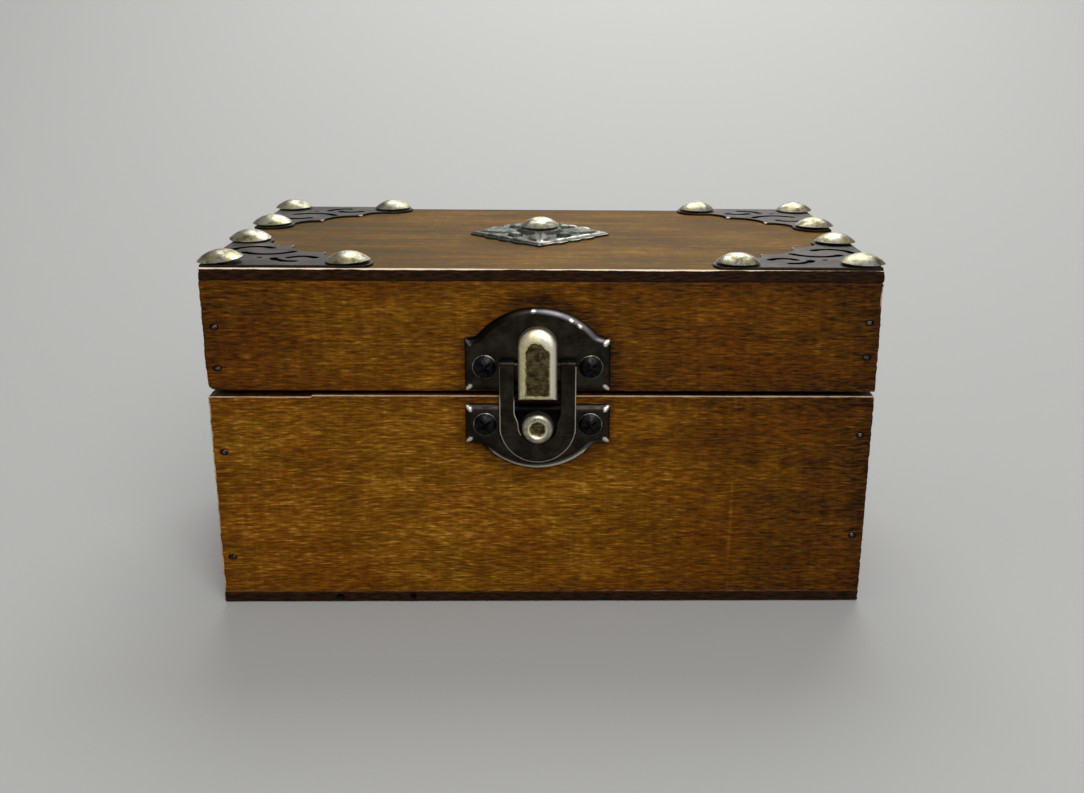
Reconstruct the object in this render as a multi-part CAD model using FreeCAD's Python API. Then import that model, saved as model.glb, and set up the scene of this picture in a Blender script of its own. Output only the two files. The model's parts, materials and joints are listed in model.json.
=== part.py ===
import FreeCAD, Part
import math
import os

# Hinged wooden keepsake box with a toggle latch, pierced corner plates, dome nails and a diamond ornament.
# Millimetres. X runs along the front, Y from front to back, Z up. The origin is the middle of the underside.

# Shell of the box: six boards below the seam and five above it, butt-jointed, front and back over the sides.
BOX_WIDTH = 150.0
BOX_DEPTH = 88.0
BASE_HEIGHT = 51.0
LID_HEIGHT = 27.8
SEAM_GAP = 1.0
WALL = 7.0
TOP_PLY = 2.8
BOTTOM_PLY = 2.5
ARRIS = 0.4

# Clearance of a fixing in its own hole, of a pin where it is held, and of a pin where a piece turns on it.
FIXING_GAP = 0.05
HELD_GAP = 0.02
RUNNING_GAP = 0.05
# Depth by which a fixing's hole runs past its point, and past the surface that it enters.
DRILL_OVER = 0.4

# Brads through the front and back boards into the side boards' ends, their heads sunk below the surface.
BRAD_SHANK = 1.0
BRAD_HEAD = 1.7
BRAD_HEAD_T = 0.5
BRAD_SINK = 0.15
BRAD_BITE = 7.0
BRAD_INSET = 2.6
# Heights of the brads, from the lower edge of the board and from its upper edge, hand-placed on each side.
BASE_BRAD_UP_LEFT = 11.5
BASE_BRAD_DOWN_LEFT = 13.6
BASE_BRAD_UP_RIGHT = 16.8
BASE_BRAD_DOWN_RIGHT = 9.4
LID_BRAD_UP_LEFT = 5.1
LID_BRAD_DOWN_LEFT = 10.4
LID_BRAD_UP_RIGHT = 8.0
LID_BRAD_DOWN_RIGHT = 9.0

# Dome nails: a stamped cap over a pointed shank. Three hold each corner plate, one holds the ornament.
NAIL_D = 10.0
NAIL_DOME = 2.2
NAIL_RIM = 0.4
NAIL_SHEET = 0.7
NAIL_SHANK = 1.8
NAIL_POINT = 2.0
NAIL_BITE = 5.0
NAIL_INSET = 4.1
NAIL_PITCH_X = 27.8
NAIL_PITCH_Y = 27.8

# Corner plates, pierced with four scroll slots: an arm and a hook, then a crest and a curl on the X leg.
CORNER_T = 0.6
CORNER_EDGE = 0.4
CORNER_LOBE = 5.6
CORNER_LOBE_ANGLE = 110.0
CORNER_CUSP_FAR = 25.0
CORNER_CUSP_NEAR = 16.0
CORNER_WAIST = 18.4
CORNER_HOLLOW = 1.2
SCROLL_SLOT = 1.4
ARM_R = 4.9
ARM_ALONG = 8.0
ARM_ACROSS = 17.8
HOOK_R = 6.8
HOOK_ALONG = 11.6
HOOK_ACROSS = 20.0
CREST_R = 3.5
CREST_ALONG = 20.9
CREST_ACROSS = 7.2
CURL_R = 4.9
CURL_ALONG = 19.4
CURL_ACROSS = 9.8
CORNER_DOT = 1.2
CORNER_DOT_ALONG = 11.4
CORNER_DOT_ACROSS = 9.3
# Directions from a slot's centre to its two ends, in degrees from the front edge.
ARM_START_ANGLE = 42.0
ARM_END_ANGLE = 175.0
HOOK_START_ANGLE = 223.0
HOOK_END_ANGLE = 330.0
CREST_START_ANGLE = 35.0
CREST_END_ANGLE = 145.0
CURL_START_ANGLE = 198.0
CURL_END_ANGLE = 276.0

# Diamond ornament: a scalloped plate with four raised leaves, four beads and a stepped boss under its nail.
ORNAMENT_X = -1.2
ORNAMENT_TIP = 17.4
ORNAMENT_T = 0.8
SCALLOP_SHARE = 0.22
SCALLOP_COUNT = 3
SCALLOP_BULGE = 0.9
LEAF_FROM_TIP = 1.6
LEAF_W = 5.2
LEAF_RISE = 1.1
BEAD_D = 3.6
BEAD_OUT = 8.6
BEAD_RISE = 1.2
BOSS_D = 13.0
BOSS_RISE = 1.3
BOSS_FLARE = 1.2

# Toggle latch. It sits a little left of the middle. Heights are taken from the two edges at the seam.
LATCH_X = -1.3
PLATE_T = 1.4
PLATE_BEVEL = 0.9
MOVING_GAP = 0.3
LATCH_PLATE_UP = 2.2
LATCH_TAB_H = 10.2
LATCH_TAB_DROP = 1.8
LATCH_PLATE_H = 17.2
LATCH_PLATE_RIM = 1.7
LATCH_STEP_X = 3.0
LATCH_STEP_Z = 0.9
KEEPER_DOWN = 1.85
KEEPER_TAB_H = 9.1
KEEPER_RIM = 1.8
KEEPER_STEP_X = 3.4
KEEPER_BELOW = 2.1

# Pan-head screws, two in each plate.
SCREW_HEAD = 5.4
SCREW_HEAD_H = 1.5
SCREW_HEAD_EDGE = 0.4
SCREW_SHANK = 2.2
SCREW_BITE = 4.0
SCREW_CROSS_L = 3.0
SCREW_CROSS_W = 0.7
SCREW_CROSS_D = 0.8
SCREW_TO_BAIL = 0.5
LATCH_SCREW_UP = 4.0
KEEPER_SCREW_DOWN = 4.4

# Lever: a bullet-shaped brass cap, open behind and at the lower end, turning on a pin in the plate's ears.
LEVER_W = 8.7
LEVER_L = 16.2
LEVER_SHEET = 0.8
LEVER_FACE_T = 1.1
LEVER_BEVEL = 1.2
LEVER_TAIL = 1.0
LEVER_PIN = 1.2
PIVOT_DOWN = 1.9
EAR_T = 1.2
EAR_WALL = 0.5
EAR_GAP = 0.2
EAR_SIDE_GAP = 0.6
EAR_ROOT_UP = 0.7
EAR_TOP_UP = 2.8
SWING_GAP = 0.2

# Bail: a flat U with rolled eyes, hung on a pin through the lever and seated under the post.
BAIL_T = 1.4
BAIL_ARM_W = 3.5
BAIL_SIDE_GAP = 0.75
BAIL_PIN = 1.2
BAIL_EYE_WALL = 0.5
BAIL_THROW = 6.7
BAIL_OVER_CENTRE = 0.2
BAIL_LIP = 4.75
BAIL_LIP_STEP = 0.5
BAIL_LIP_FROM_POST = 1.9
BAIL_BEVEL = 0.35
SEAT_GAP = 0.2
SEAT_SIDE_GAP = 0.7
SEAT_FLARE = 1.6

# Post riveted in the keeper plate, with a dished face.
POST_D = 7.0
POST_H = 3.1
POST_ROUND = 0.9
POST_DISH_D = 3.8
POST_DISH_DEEP = 0.8
POST_RIVET = 3.0
POST_DOWN = 6.65

# Two butt hinges on the back.
HINGE_L = 18.0
HINGE_INSET = 34.0
LEAF_H = 9.0
LEAF_T = 0.8
LEAF_CORNER = 1.2
KNUCKLES = 5
KNUCKLE_WALL = 0.8
KNUCKLE_GAP = 0.15
HINGE_PIN = 1.4
HINGE_NAIL_HEAD = 2.8
HINGE_NAIL_HEAD_H = 0.55
HINGE_NAIL_SHANK = 1.2
HINGE_NAIL_BITE = 4.0
HINGE_NAIL_SPACING = 10.0
HINGE_NAIL_DOWN = 5.6

Vector = FreeCAD.Vector
FRONT = -BOX_DEPTH / 2
BACK = BOX_DEPTH / 2
RIGHT = BOX_WIDTH / 2
LEFT = -BOX_WIDTH / 2
LID_BOTTOM = BASE_HEIGHT + SEAM_GAP
LID_TOP = LID_BOTTOM + LID_HEIGHT
LID_WALL_TOP = LID_TOP - TOP_PLY
UP = Vector(0, 0, 1)
FORWARD = Vector(0, -1, 0)
BACKWARD = Vector(0, 1, 0)


def line(start, end):
    return Part.LineSegment(start, end).toShape()


def arc(start, middle, end):
    return Part.Arc(start, middle, end).toShape()


def face(edges):
    return Part.Face(Part.Wire(edges))


def loop(points):
    """Straight edges through the points and back to the first."""
    return [line(a, b) for a, b in zip(points, points[1:] + points[:1])]


def placed(shape, point, direction):
    """A copy of a shape drawn on the Z axis, moved to a point with its Z axis turned to a direction."""
    copy = shape.copy()
    copy.Placement = FreeCAD.Placement(point, FreeCAD.Rotation(UP, direction))
    return copy


def turned(edges):
    """A solid of revolution about the Z axis from edges in the XZ plane."""
    return face(edges).revolve(Vector(0, 0, 0), UP, 360)


def xz(radius, height):
    return Vector(radius, 0, height)


def rod(point, direction, radius, length):
    return Part.makeCylinder(radius, length, point, direction)


def board(x0, x1, y0, y1, z0, z1):
    """A sawn board with its edges lightly rounded."""
    block = Part.makeBox(x1 - x0, y1 - y0, z1 - z0, Vector(x0, y0, z0))
    return block.makeFillet(ARRIS, block.Edges)


def drilled(solid, holes):
    """The solid with the holes that reach it cut out."""
    near = [hole for hole in holes if hole.BoundBox.intersect(solid.BoundBox)]
    return solid.cut(near) if near else solid


# Fixings, each drawn on the Z axis with the surface that it enters at Z = 0, and the hole that it needs.

def brad(length, gap):
    head = BRAD_HEAD / 2 + gap
    shank = BRAD_SHANK / 2 + gap
    top = -BRAD_SINK if gap == 0 else DRILL_OVER
    under = -BRAD_SINK - BRAD_HEAD_T - gap
    end = -length if gap == 0 else -length - DRILL_OVER
    return turned(loop([xz(0, top), xz(head, top), xz(head, under), xz(shank, under),
                        xz(shank, end + shank), xz(0, end)]))


def dome_nail(length):
    radius = NAIL_D / 2
    ball = (radius ** 2 + NAIL_DOME ** 2) / (2 * NAIL_DOME)
    centre = NAIL_RIM + NAIL_DOME - ball
    inner = ball - NAIL_SHEET
    mouth = math.sqrt(inner ** 2 - centre ** 2)
    shank = NAIL_SHANK / 2
    root = centre + math.sqrt(inner ** 2 - shank ** 2)
    half_out = centre + math.sqrt(ball ** 2 - (radius / 2) ** 2)
    half_in = centre + math.sqrt(inner ** 2 - (mouth / 2) ** 2)
    top = xz(0, NAIL_RIM + NAIL_DOME)
    return turned([
        arc(top, xz(radius / 2, half_out), xz(radius, NAIL_RIM)),
        line(xz(radius, NAIL_RIM), xz(radius, 0)),
        line(xz(radius, 0), xz(mouth, 0)),
        arc(xz(mouth, 0), xz(mouth / 2, half_in), xz(shank, root)),
        line(xz(shank, root), xz(shank, NAIL_POINT - length)),
        line(xz(shank, NAIL_POINT - length), xz(0, -length)),
        line(xz(0, -length), top)])


def round_head(head, height, edge, shank, length):
    """A low domed head on a pointed shank."""
    radius = head / 2
    rise = height - edge
    ball = (radius ** 2 + rise ** 2) / (2 * rise)
    half = height - ball + math.sqrt(ball ** 2 - (radius / 2) ** 2)
    top = xz(0, height)
    return turned([
        arc(top, xz(radius / 2, half), xz(radius, edge)),
        line(xz(radius, edge), xz(radius, 0)),
        line(xz(radius, 0), xz(shank / 2, 0)),
        line(xz(shank / 2, 0), xz(shank / 2, shank - length)),
        line(xz(shank / 2, shank - length), xz(0, -length)),
        line(xz(0, -length), top)])


def screw(length):
    """A pan-head screw with a crossed recess."""
    solid = round_head(SCREW_HEAD, SCREW_HEAD_H, SCREW_HEAD_EDGE, SCREW_SHANK, length)
    floor = SCREW_HEAD_H - SCREW_CROSS_D
    arm = Vector(-SCREW_CROSS_L / 2, -SCREW_CROSS_W / 2, floor)
    slot = Part.makeBox(SCREW_CROSS_L, SCREW_CROSS_W, SCREW_HEAD_H, arm)
    other = slot.copy()
    other.rotate(Vector(0, 0, 0), UP, 90)
    return solid.cut(slot.fuse(other))


def pilot(shank, length):
    """The hole for a shank, open above the surface and run past the shank's point."""
    depth = length + 2 * DRILL_OVER
    return rod(Vector(0, 0, DRILL_OVER - depth), UP, shank / 2 + FIXING_GAP, depth)


# Brads: where they go in the front and back boards.

brad_length = WALL + BRAD_BITE
brad_solid = brad(brad_length, 0)
brad_hole = brad(brad_length, FIXING_GAP)


def brad_points(left_up, left_down, right_up, right_down, z0, z1):
    """Two brads near each end of a board that spans z0 to z1."""
    left = LEFT + BRAD_INSET
    right = RIGHT - BRAD_INSET
    return [(left, z0 + left_up), (left, z1 - left_down), (right, z0 + right_up), (right, z1 - right_down)]


base_brads = brad_points(BASE_BRAD_UP_LEFT, BASE_BRAD_DOWN_LEFT, BASE_BRAD_UP_RIGHT, BASE_BRAD_DOWN_RIGHT,
                         0, BASE_HEIGHT)
lid_brads = brad_points(LID_BRAD_UP_LEFT, LID_BRAD_DOWN_LEFT, LID_BRAD_UP_RIGHT, LID_BRAD_DOWN_RIGHT,
                        LID_BOTTOM, LID_WALL_TOP)


def brad_row(shape, points, y, outward):
    return [placed(shape, Vector(x, y, z), outward) for x, z in points]


brad_holes = []
for points in (base_brads, lid_brads):
    brad_holes += brad_row(brad_hole, points, FRONT, FORWARD)
    brad_holes += brad_row(brad_hole, points, BACK, BACKWARD)

# Corner plates are drawn at the front left corner, then mirrored to the other three.

corner_nail_points = [(0, 0), (NAIL_PITCH_X, 0), (0, NAIL_PITCH_Y)]


def corner(along, across, height=LID_TOP):
    """A point of the front left corner plate, from the corner along X and along Y."""
    return Vector(LEFT + along, FRONT + across, height)


def scroll_slot(along, across, radius, start_angle, end_angle):
    """A curved slot of even width with round ends, between two directions from its centre."""
    first = math.radians(start_angle)
    last = math.radians(end_angle)
    turn = (first + last) / 2

    def spot(angle, r):
        return corner(along + r * math.cos(angle), across + r * math.sin(angle))

    wide = radius + SCROLL_SLOT / 2
    thin = radius - SCROLL_SLOT / 2
    cap = SCROLL_SLOT / 2 / radius
    return [arc(spot(first, wide), spot(turn, wide), spot(last, wide)),
            arc(spot(last, wide), spot(last + cap, radius), spot(last, thin)),
            arc(spot(last, thin), spot(turn, thin), spot(first, thin)),
            arc(spot(first, thin), spot(first - cap, radius), spot(first, wide))]


def corner_plate():
    e = CORNER_EDGE
    n = NAIL_INSET
    foot = math.sqrt(CORNER_LOBE ** 2 - (n - e) ** 2)
    lean = math.radians(CORNER_LOBE_ANGLE)
    lobe_x = n + NAIL_PITCH_X
    lobe_y = n + NAIL_PITCH_Y
    lobe_rise = CORNER_LOBE * math.sin(lean)
    lobe_back = CORNER_LOBE * math.cos(lean)
    tip_x = [corner(lobe_x + foot, e),
             corner(lobe_x + CORNER_LOBE, n),
             corner(lobe_x + lobe_back, n + lobe_rise)]
    tip_y = [corner(e, lobe_y + foot),
             corner(n, lobe_y + CORNER_LOBE),
             corner(n + lobe_rise, lobe_y + lobe_back)]
    cusp_x = corner(CORNER_CUSP_FAR, CORNER_CUSP_NEAR)
    cusp_y = corner(CORNER_CUSP_NEAR, CORNER_CUSP_FAR)
    hollow = Vector(-CORNER_HOLLOW, -CORNER_HOLLOW, 0)
    mid_x = (tip_x[2] + cusp_x) / 2 + hollow
    mid_y = (tip_y[2] + cusp_y) / 2 + hollow
    outline = [line(corner(e, e), tip_x[0]),
               arc(*tip_x),
               arc(tip_x[2], mid_x, cusp_x),
               arc(cusp_x, corner(CORNER_WAIST, CORNER_WAIST), cusp_y),
               arc(cusp_y, mid_y, tip_y[2]),
               arc(*tip_y[::-1]),
               line(tip_y[0], corner(e, e))]
    plate = face(outline).extrude(Vector(0, 0, CORNER_T))
    deep = Vector(0, 0, 3 * CORNER_T)
    below = Vector(0, 0, -CORNER_T)
    cuts = []
    for scroll in ((ARM_ALONG, ARM_ACROSS, ARM_R, ARM_START_ANGLE, ARM_END_ANGLE),
                   (HOOK_ALONG, HOOK_ACROSS, HOOK_R, HOOK_START_ANGLE, HOOK_END_ANGLE),
                   (CREST_ALONG, CREST_ACROSS, CREST_R, CREST_START_ANGLE, CREST_END_ANGLE),
                   (CURL_ALONG, CURL_ACROSS, CURL_R, CURL_START_ANGLE, CURL_END_ANGLE)):
        slot = face(scroll_slot(*scroll)).extrude(deep)
        slot.translate(below)
        cuts.append(slot)
    dot = corner(CORNER_DOT_ALONG, CORNER_DOT_ACROSS, LID_TOP - CORNER_T)
    cuts.append(rod(dot, UP, CORNER_DOT / 2, 3 * CORNER_T))
    for dx, dy in corner_nail_points:
        middle = corner(n + dx, n + dy, LID_TOP - CORNER_T)
        cuts.append(rod(middle, UP, NAIL_SHANK / 2 + FIXING_GAP, 3 * CORNER_T))
    return plate.cut(cuts)


first_plate = corner_plate()
nail_length = CORNER_T + TOP_PLY + NAIL_BITE
nail_solid = dome_nail(nail_length)
nail_seat = LID_TOP + CORNER_T
first_nails = Part.makeCompound([placed(nail_solid, corner(NAIL_INSET + dx, NAIL_INSET + dy, nail_seat), UP)
                                 for dx, dy in corner_nail_points])


def to_corners(shape):
    """The front left piece and its mirror images, by corner."""
    centre = Vector(0, 0, 0)
    over_x = shape.mirror(centre, Vector(1, 0, 0))
    over_y = shape.mirror(centre, Vector(0, 1, 0))
    both = over_x.mirror(centre, Vector(0, 1, 0))
    return {"front_left": shape, "front_right": over_x, "back_left": over_y, "back_right": both}


corner_plates = to_corners(first_plate)
corner_nails = to_corners(first_nails)
nail_hole = pilot(NAIL_SHANK, nail_length)
top_holes = []
for sx in (-1, 1):
    for sy in (-1, 1):
        for dx, dy in corner_nail_points:
            x = sx * (RIGHT - NAIL_INSET - dx)
            y = sy * (BACK - NAIL_INSET - dy)
            top_holes.append(placed(nail_hole, Vector(x, y, nail_seat), UP))

# Diamond ornament.

ornament_height = ORNAMENT_T + BOSS_RISE


def ornament_point(radius, angle, height):
    turn = math.radians(angle)
    return Vector(ORNAMENT_X + radius * math.cos(turn), radius * math.sin(turn), LID_TOP + height)


def scalloped_side(start, end):
    """One side of the diamond: a straight run, scallops that swell outward, and a straight run."""
    run = end - start
    outward = Vector(run.y, -run.x, 0).normalize() * SCALLOP_BULGE
    step = (1 - 2 * SCALLOP_SHARE) / SCALLOP_COUNT
    notches = [start + run * (SCALLOP_SHARE + step * k) for k in range(SCALLOP_COUNT + 1)]
    edges = [line(start, notches[0])]
    for a, b in zip(notches, notches[1:]):
        edges.append(arc(a, (a + b) / 2 + outward, b))
    edges.append(line(notches[-1], end))
    return edges


def leaf_wire(angle, inner, outer, width, height):
    """A pointed leaf between two radii, as two arcs."""
    root = ornament_point(inner, angle, height)
    tip = ornament_point(outer, angle, height)
    middle = (root + tip) / 2
    side = Vector(-(tip - root).y, (tip - root).x, 0).normalize() * (width / 2)
    return Part.Wire([arc(root, middle + side, tip), arc(tip, middle - side, root)])


def ornament():
    tips = [ornament_point(ORNAMENT_TIP, 90 * k, 0) for k in range(4)]
    edges = []
    for k in range(4):
        edges += scalloped_side(tips[k], tips[(k + 1) % 4])
    solid = face(edges).extrude(Vector(0, 0, ORNAMENT_T))
    low = ORNAMENT_T
    high = ORNAMENT_T + LEAF_RISE
    inner = BOSS_D / 4
    outer = ORNAMENT_TIP - LEAF_FROM_TIP
    slope = LEAF_RISE
    raised = []
    for k in range(4):
        under = leaf_wire(90 * k, inner, outer, LEAF_W, low)
        over = leaf_wire(90 * k, inner + slope, outer - slope, LEAF_W - 2 * slope, high)
        raised.append(Part.makeLoft([under, over], True, True))
        ball = (BEAD_D ** 2 / 4 + BEAD_RISE ** 2) / (2 * BEAD_RISE)
        spot = ornament_point(BEAD_OUT, 90 * k + 45, low + BEAD_RISE - ball)
        cap = Part.makeSphere(ball, spot)
        keep = Part.makeBox(2 * ball, 2 * ball, 2 * ball, Vector(spot.x - ball, spot.y - ball, LID_TOP + low))
        raised.append(cap.common(keep))
    foot = ornament_point(0, 0, ORNAMENT_T)
    raised.append(Part.makeCone(BOSS_D / 2, BOSS_D / 2 - BOSS_FLARE, BOSS_RISE, foot, UP))
    solid = solid.fuse(raised).removeSplitter()
    under = ornament_point(0, 0, -DRILL_OVER)
    return solid.cut(rod(under, UP, NAIL_SHANK / 2 + FIXING_GAP, ornament_height + 2 * DRILL_OVER))


# The ornament's nail stops inside the top board.
ornament_nail_length = ornament_height + TOP_PLY - DRILL_OVER
ornament_nail = placed(dome_nail(ornament_nail_length), ornament_point(0, 0, ornament_height), UP)
top_holes.append(placed(pilot(NAIL_SHANK, ornament_nail_length), ornament_point(0, 0, ornament_height), UP))

# Toggle latch. Its shapes are drawn on planes parallel to the front, at a distance out from it.

lever_half = LEVER_W / 2
bail_inner = lever_half + BAIL_SIDE_GAP
bail_outer = bail_inner + BAIL_ARM_W
screw_x = bail_outer + SCREW_TO_BAIL + SCREW_HEAD / 2
latch_half = screw_x + SCREW_HEAD / 2 + LATCH_PLATE_RIM
keeper_half = screw_x + SCREW_HEAD / 2 + KEEPER_RIM
latch_bottom = LID_BOTTOM + LATCH_PLATE_UP
latch_foot = latch_bottom - LATCH_TAB_DROP
latch_top = latch_bottom + LATCH_PLATE_H
latch_shoulder = latch_bottom + LATCH_TAB_H
keeper_top = BASE_HEIGHT - KEEPER_DOWN
keeper_shoulder = keeper_top - KEEPER_TAB_H
post_z = BASE_HEIGHT - POST_DOWN
seat_bottom = post_z - POST_D / 2 - SEAT_GAP
bail_bottom = seat_bottom - BAIL_LIP
keeper_bottom = bail_bottom - KEEPER_BELOW
latch_screw_z = latch_bottom + LATCH_SCREW_UP
keeper_screw_z = keeper_top - KEEPER_SCREW_DOWN

# The lever's pin stands far enough out for the bail's eye to clear the plate and the lever's tail the front.
ear_r = LEVER_PIN / 2 + EAR_WALL
eye_r = BAIL_PIN / 2 + BAIL_EYE_WALL
lever_front = ear_r + EAR_GAP + LEVER_FACE_T
tail_swing = math.hypot(lever_front, LEVER_TAIL)
pivot_out = max(PLATE_T + MOVING_GAP + eye_r + BAIL_OVER_CENTRE, tail_swing + SWING_GAP)
pivot_z = latch_bottom - PIVOT_DOWN
bail_pin_out = pivot_out - BAIL_OVER_CENTRE
bail_pin_z = pivot_z + BAIL_THROW
bail_back = PLATE_T + MOVING_GAP
bail_front = bail_back + BAIL_T
lever_back = PLATE_T + MOVING_GAP
lever_hollow = pivot_out + ear_r + EAR_GAP
lever_face = lever_hollow + LEVER_FACE_T
lever_bottom = pivot_z - LEVER_TAIL
lever_top = lever_bottom + LEVER_L


def spot(x, z, out):
    """A point of the latch, x from its middle line, z above the table, out from the front."""
    return Vector(LATCH_X + x, FRONT - out, z)


def raised(edges, out0, out1):
    """A solid from edges drawn at out0, drawn forward to out1."""
    return face(edges).extrude(Vector(0, out0 - out1, 0))


def edges_at(solid, out):
    """The edges that lie on the plane at a distance out from the front."""
    return [edge for edge in solid.Edges
            if abs(edge.BoundBox.YMin - (FRONT - out)) < 1e-4 and edge.BoundBox.YLength < 1e-4]


def cross_rod(z, out, radius, half):
    """A rod along X, centred on the latch's middle line."""
    return rod(spot(-half, z, out), Vector(1, 0, 0), radius, 2 * half)


def arched_plate(half, straight, shoulder, step_x, step_z, apex):
    """A plate with a straight edge, two square tabs and an arch past them, bevelled all round."""
    toward = 1 if apex > straight else -1
    start = shoulder + toward * step_z
    edges = [line(spot(-half, straight, 0), spot(half, straight, 0)),
             line(spot(half, straight, 0), spot(half, shoulder, 0)),
             line(spot(half, shoulder, 0), spot(half - step_x, start, 0)),
             arc(spot(half - step_x, start, 0), spot(0, apex, 0), spot(step_x - half, start, 0)),
             line(spot(step_x - half, start, 0), spot(-half, shoulder, 0)),
             line(spot(-half, shoulder, 0), spot(-half, straight, 0))]
    plate = raised(edges, 0, PLATE_T)
    return plate.makeChamfer(PLATE_BEVEL, edges_at(plate, PLATE_T))


def latch_ear(x0):
    """An ear that leaves the plate above the pin and reaches down to it, so that the lever clears it."""
    root = latch_bottom + EAR_ROOT_UP
    top = latch_bottom + EAR_TOP_UP
    behind = PLATE_T / 2
    near = pivot_out - ear_r
    far = pivot_out + ear_r
    edges = [line(spot(x0, root, behind), spot(x0, root, near)),
             line(spot(x0, root, near), spot(x0, pivot_z, near)),
             arc(spot(x0, pivot_z, near), spot(x0, pivot_z - ear_r, pivot_out), spot(x0, pivot_z, far)),
             line(spot(x0, pivot_z, far), spot(x0, top - ear_r, far)),
             arc(spot(x0, top - ear_r, far), spot(x0, top - ear_r * (1 - math.sqrt(0.5)), far - ear_r *
                 (1 - math.sqrt(0.5))), spot(x0, top, far - ear_r)),
             line(spot(x0, top, far - ear_r), spot(x0, top, behind)),
             line(spot(x0, top, behind), spot(x0, root, behind))]
    return face(edges).extrude(Vector(EAR_T, 0, 0))


screw_length = PLATE_T + SCREW_BITE
screw_solid = screw(screw_length)
screw_hole = pilot(SCREW_SHANK, screw_length)
latch_screw_points = [spot(side * screw_x, latch_screw_z, PLATE_T) for side in (-1, 1)]
keeper_screw_points = [spot(side * screw_x, keeper_screw_z, PLATE_T) for side in (-1, 1)]
latch_screws = [placed(screw_solid, point, FORWARD) for point in latch_screw_points]
keeper_screws = [placed(screw_solid, point, FORWARD) for point in keeper_screw_points]
screw_holes = [placed(screw_hole, point, FORWARD) for point in latch_screw_points + keeper_screw_points]


def latch_plate():
    """The plate on the lid. Between its tabs it is notched, which leaves room for the lever's tail to swing."""
    plate = arched_plate(latch_half, latch_foot, latch_shoulder, LATCH_STEP_X, LATCH_STEP_Z, latch_top)
    notch = Part.makeBox(2 * bail_inner, 3 * PLATE_T, LATCH_TAB_DROP + DRILL_OVER,
                         spot(-bail_inner, latch_foot - DRILL_OVER, 2 * PLATE_T))
    plate = plate.cut(notch)
    ear_outer = lever_half - LEVER_SHEET - EAR_SIDE_GAP
    plate = plate.fuse([latch_ear(ear_outer - EAR_T), latch_ear(-ear_outer)])
    pin_hole = cross_rod(pivot_z, pivot_out, LEVER_PIN / 2 + HELD_GAP, lever_half)
    return plate.cut([pin_hole] + screw_holes)


def keeper_plate():
    plate = arched_plate(keeper_half, keeper_top, keeper_shoulder, KEEPER_STEP_X, 0, keeper_bottom)
    rivet_hole = rod(spot(0, post_z, -PLATE_T), FORWARD, POST_RIVET / 2 + HELD_GAP, 3 * PLATE_T)
    return plate.cut([rivet_hole] + screw_holes)


def keeper_post():
    """A short drum with a rounded rim and a dished face, on a rivet that ends flush behind the plate."""
    radius = POST_D / 2
    dish = POST_DISH_D / 2
    ball = (dish ** 2 + POST_DISH_DEEP ** 2) / (2 * POST_DISH_DEEP)
    floor = POST_H - POST_DISH_DEEP
    half = floor + ball - math.sqrt(ball ** 2 - (dish / 2) ** 2)
    ease = POST_ROUND * (1 - math.sqrt(0.5))
    drum = turned([
        line(xz(0, -PLATE_T), xz(POST_RIVET / 2, -PLATE_T)),
        line(xz(POST_RIVET / 2, -PLATE_T), xz(POST_RIVET / 2, 0)),
        line(xz(POST_RIVET / 2, 0), xz(radius, 0)),
        line(xz(radius, 0), xz(radius, POST_H - POST_ROUND)),
        arc(xz(radius, POST_H - POST_ROUND),
            xz(radius - ease, POST_H - ease),
            xz(radius - POST_ROUND, POST_H)),
        line(xz(radius - POST_ROUND, POST_H), xz(dish, POST_H)),
        arc(xz(dish, POST_H), xz(dish / 2, half), xz(0, floor)),
        line(xz(0, floor), xz(0, -PLATE_T))])
    return placed(drum, spot(0, post_z, PLATE_T), FORWARD)


def bullet(inset, bottom, out0, out1):
    """The lever's outline, square below and round above, drawn in by an inset."""
    half = lever_half - inset
    crown = lever_top - lever_half
    edges = [line(spot(-half, bottom, out0), spot(half, bottom, out0)),
             line(spot(half, bottom, out0), spot(half, crown, out0)),
             arc(spot(half, crown, out0), spot(0, crown + half, out0), spot(-half, crown, out0)),
             line(spot(-half, crown, out0), spot(-half, bottom, out0))]
    return raised(edges, out0, out1)


def latch_lever():
    shell = bullet(0, lever_bottom, lever_back, lever_face)
    rim = [edge for edge in edges_at(shell, lever_face) if edge.BoundBox.ZLength > LEVER_SHEET]
    shell = shell.makeChamfer(LEVER_BEVEL, rim)
    shell = shell.cut(bullet(LEVER_SHEET, lever_bottom - LEVER_TAIL, lever_back - MOVING_GAP, lever_hollow))
    pin_hole = cross_rod(pivot_z, pivot_out, LEVER_PIN / 2 + RUNNING_GAP, bail_outer)
    bail_hole = cross_rod(bail_pin_z, bail_pin_out, BAIL_PIN / 2 + HELD_GAP, bail_outer)
    return shell.cut([pin_hole, bail_hole])


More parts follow.
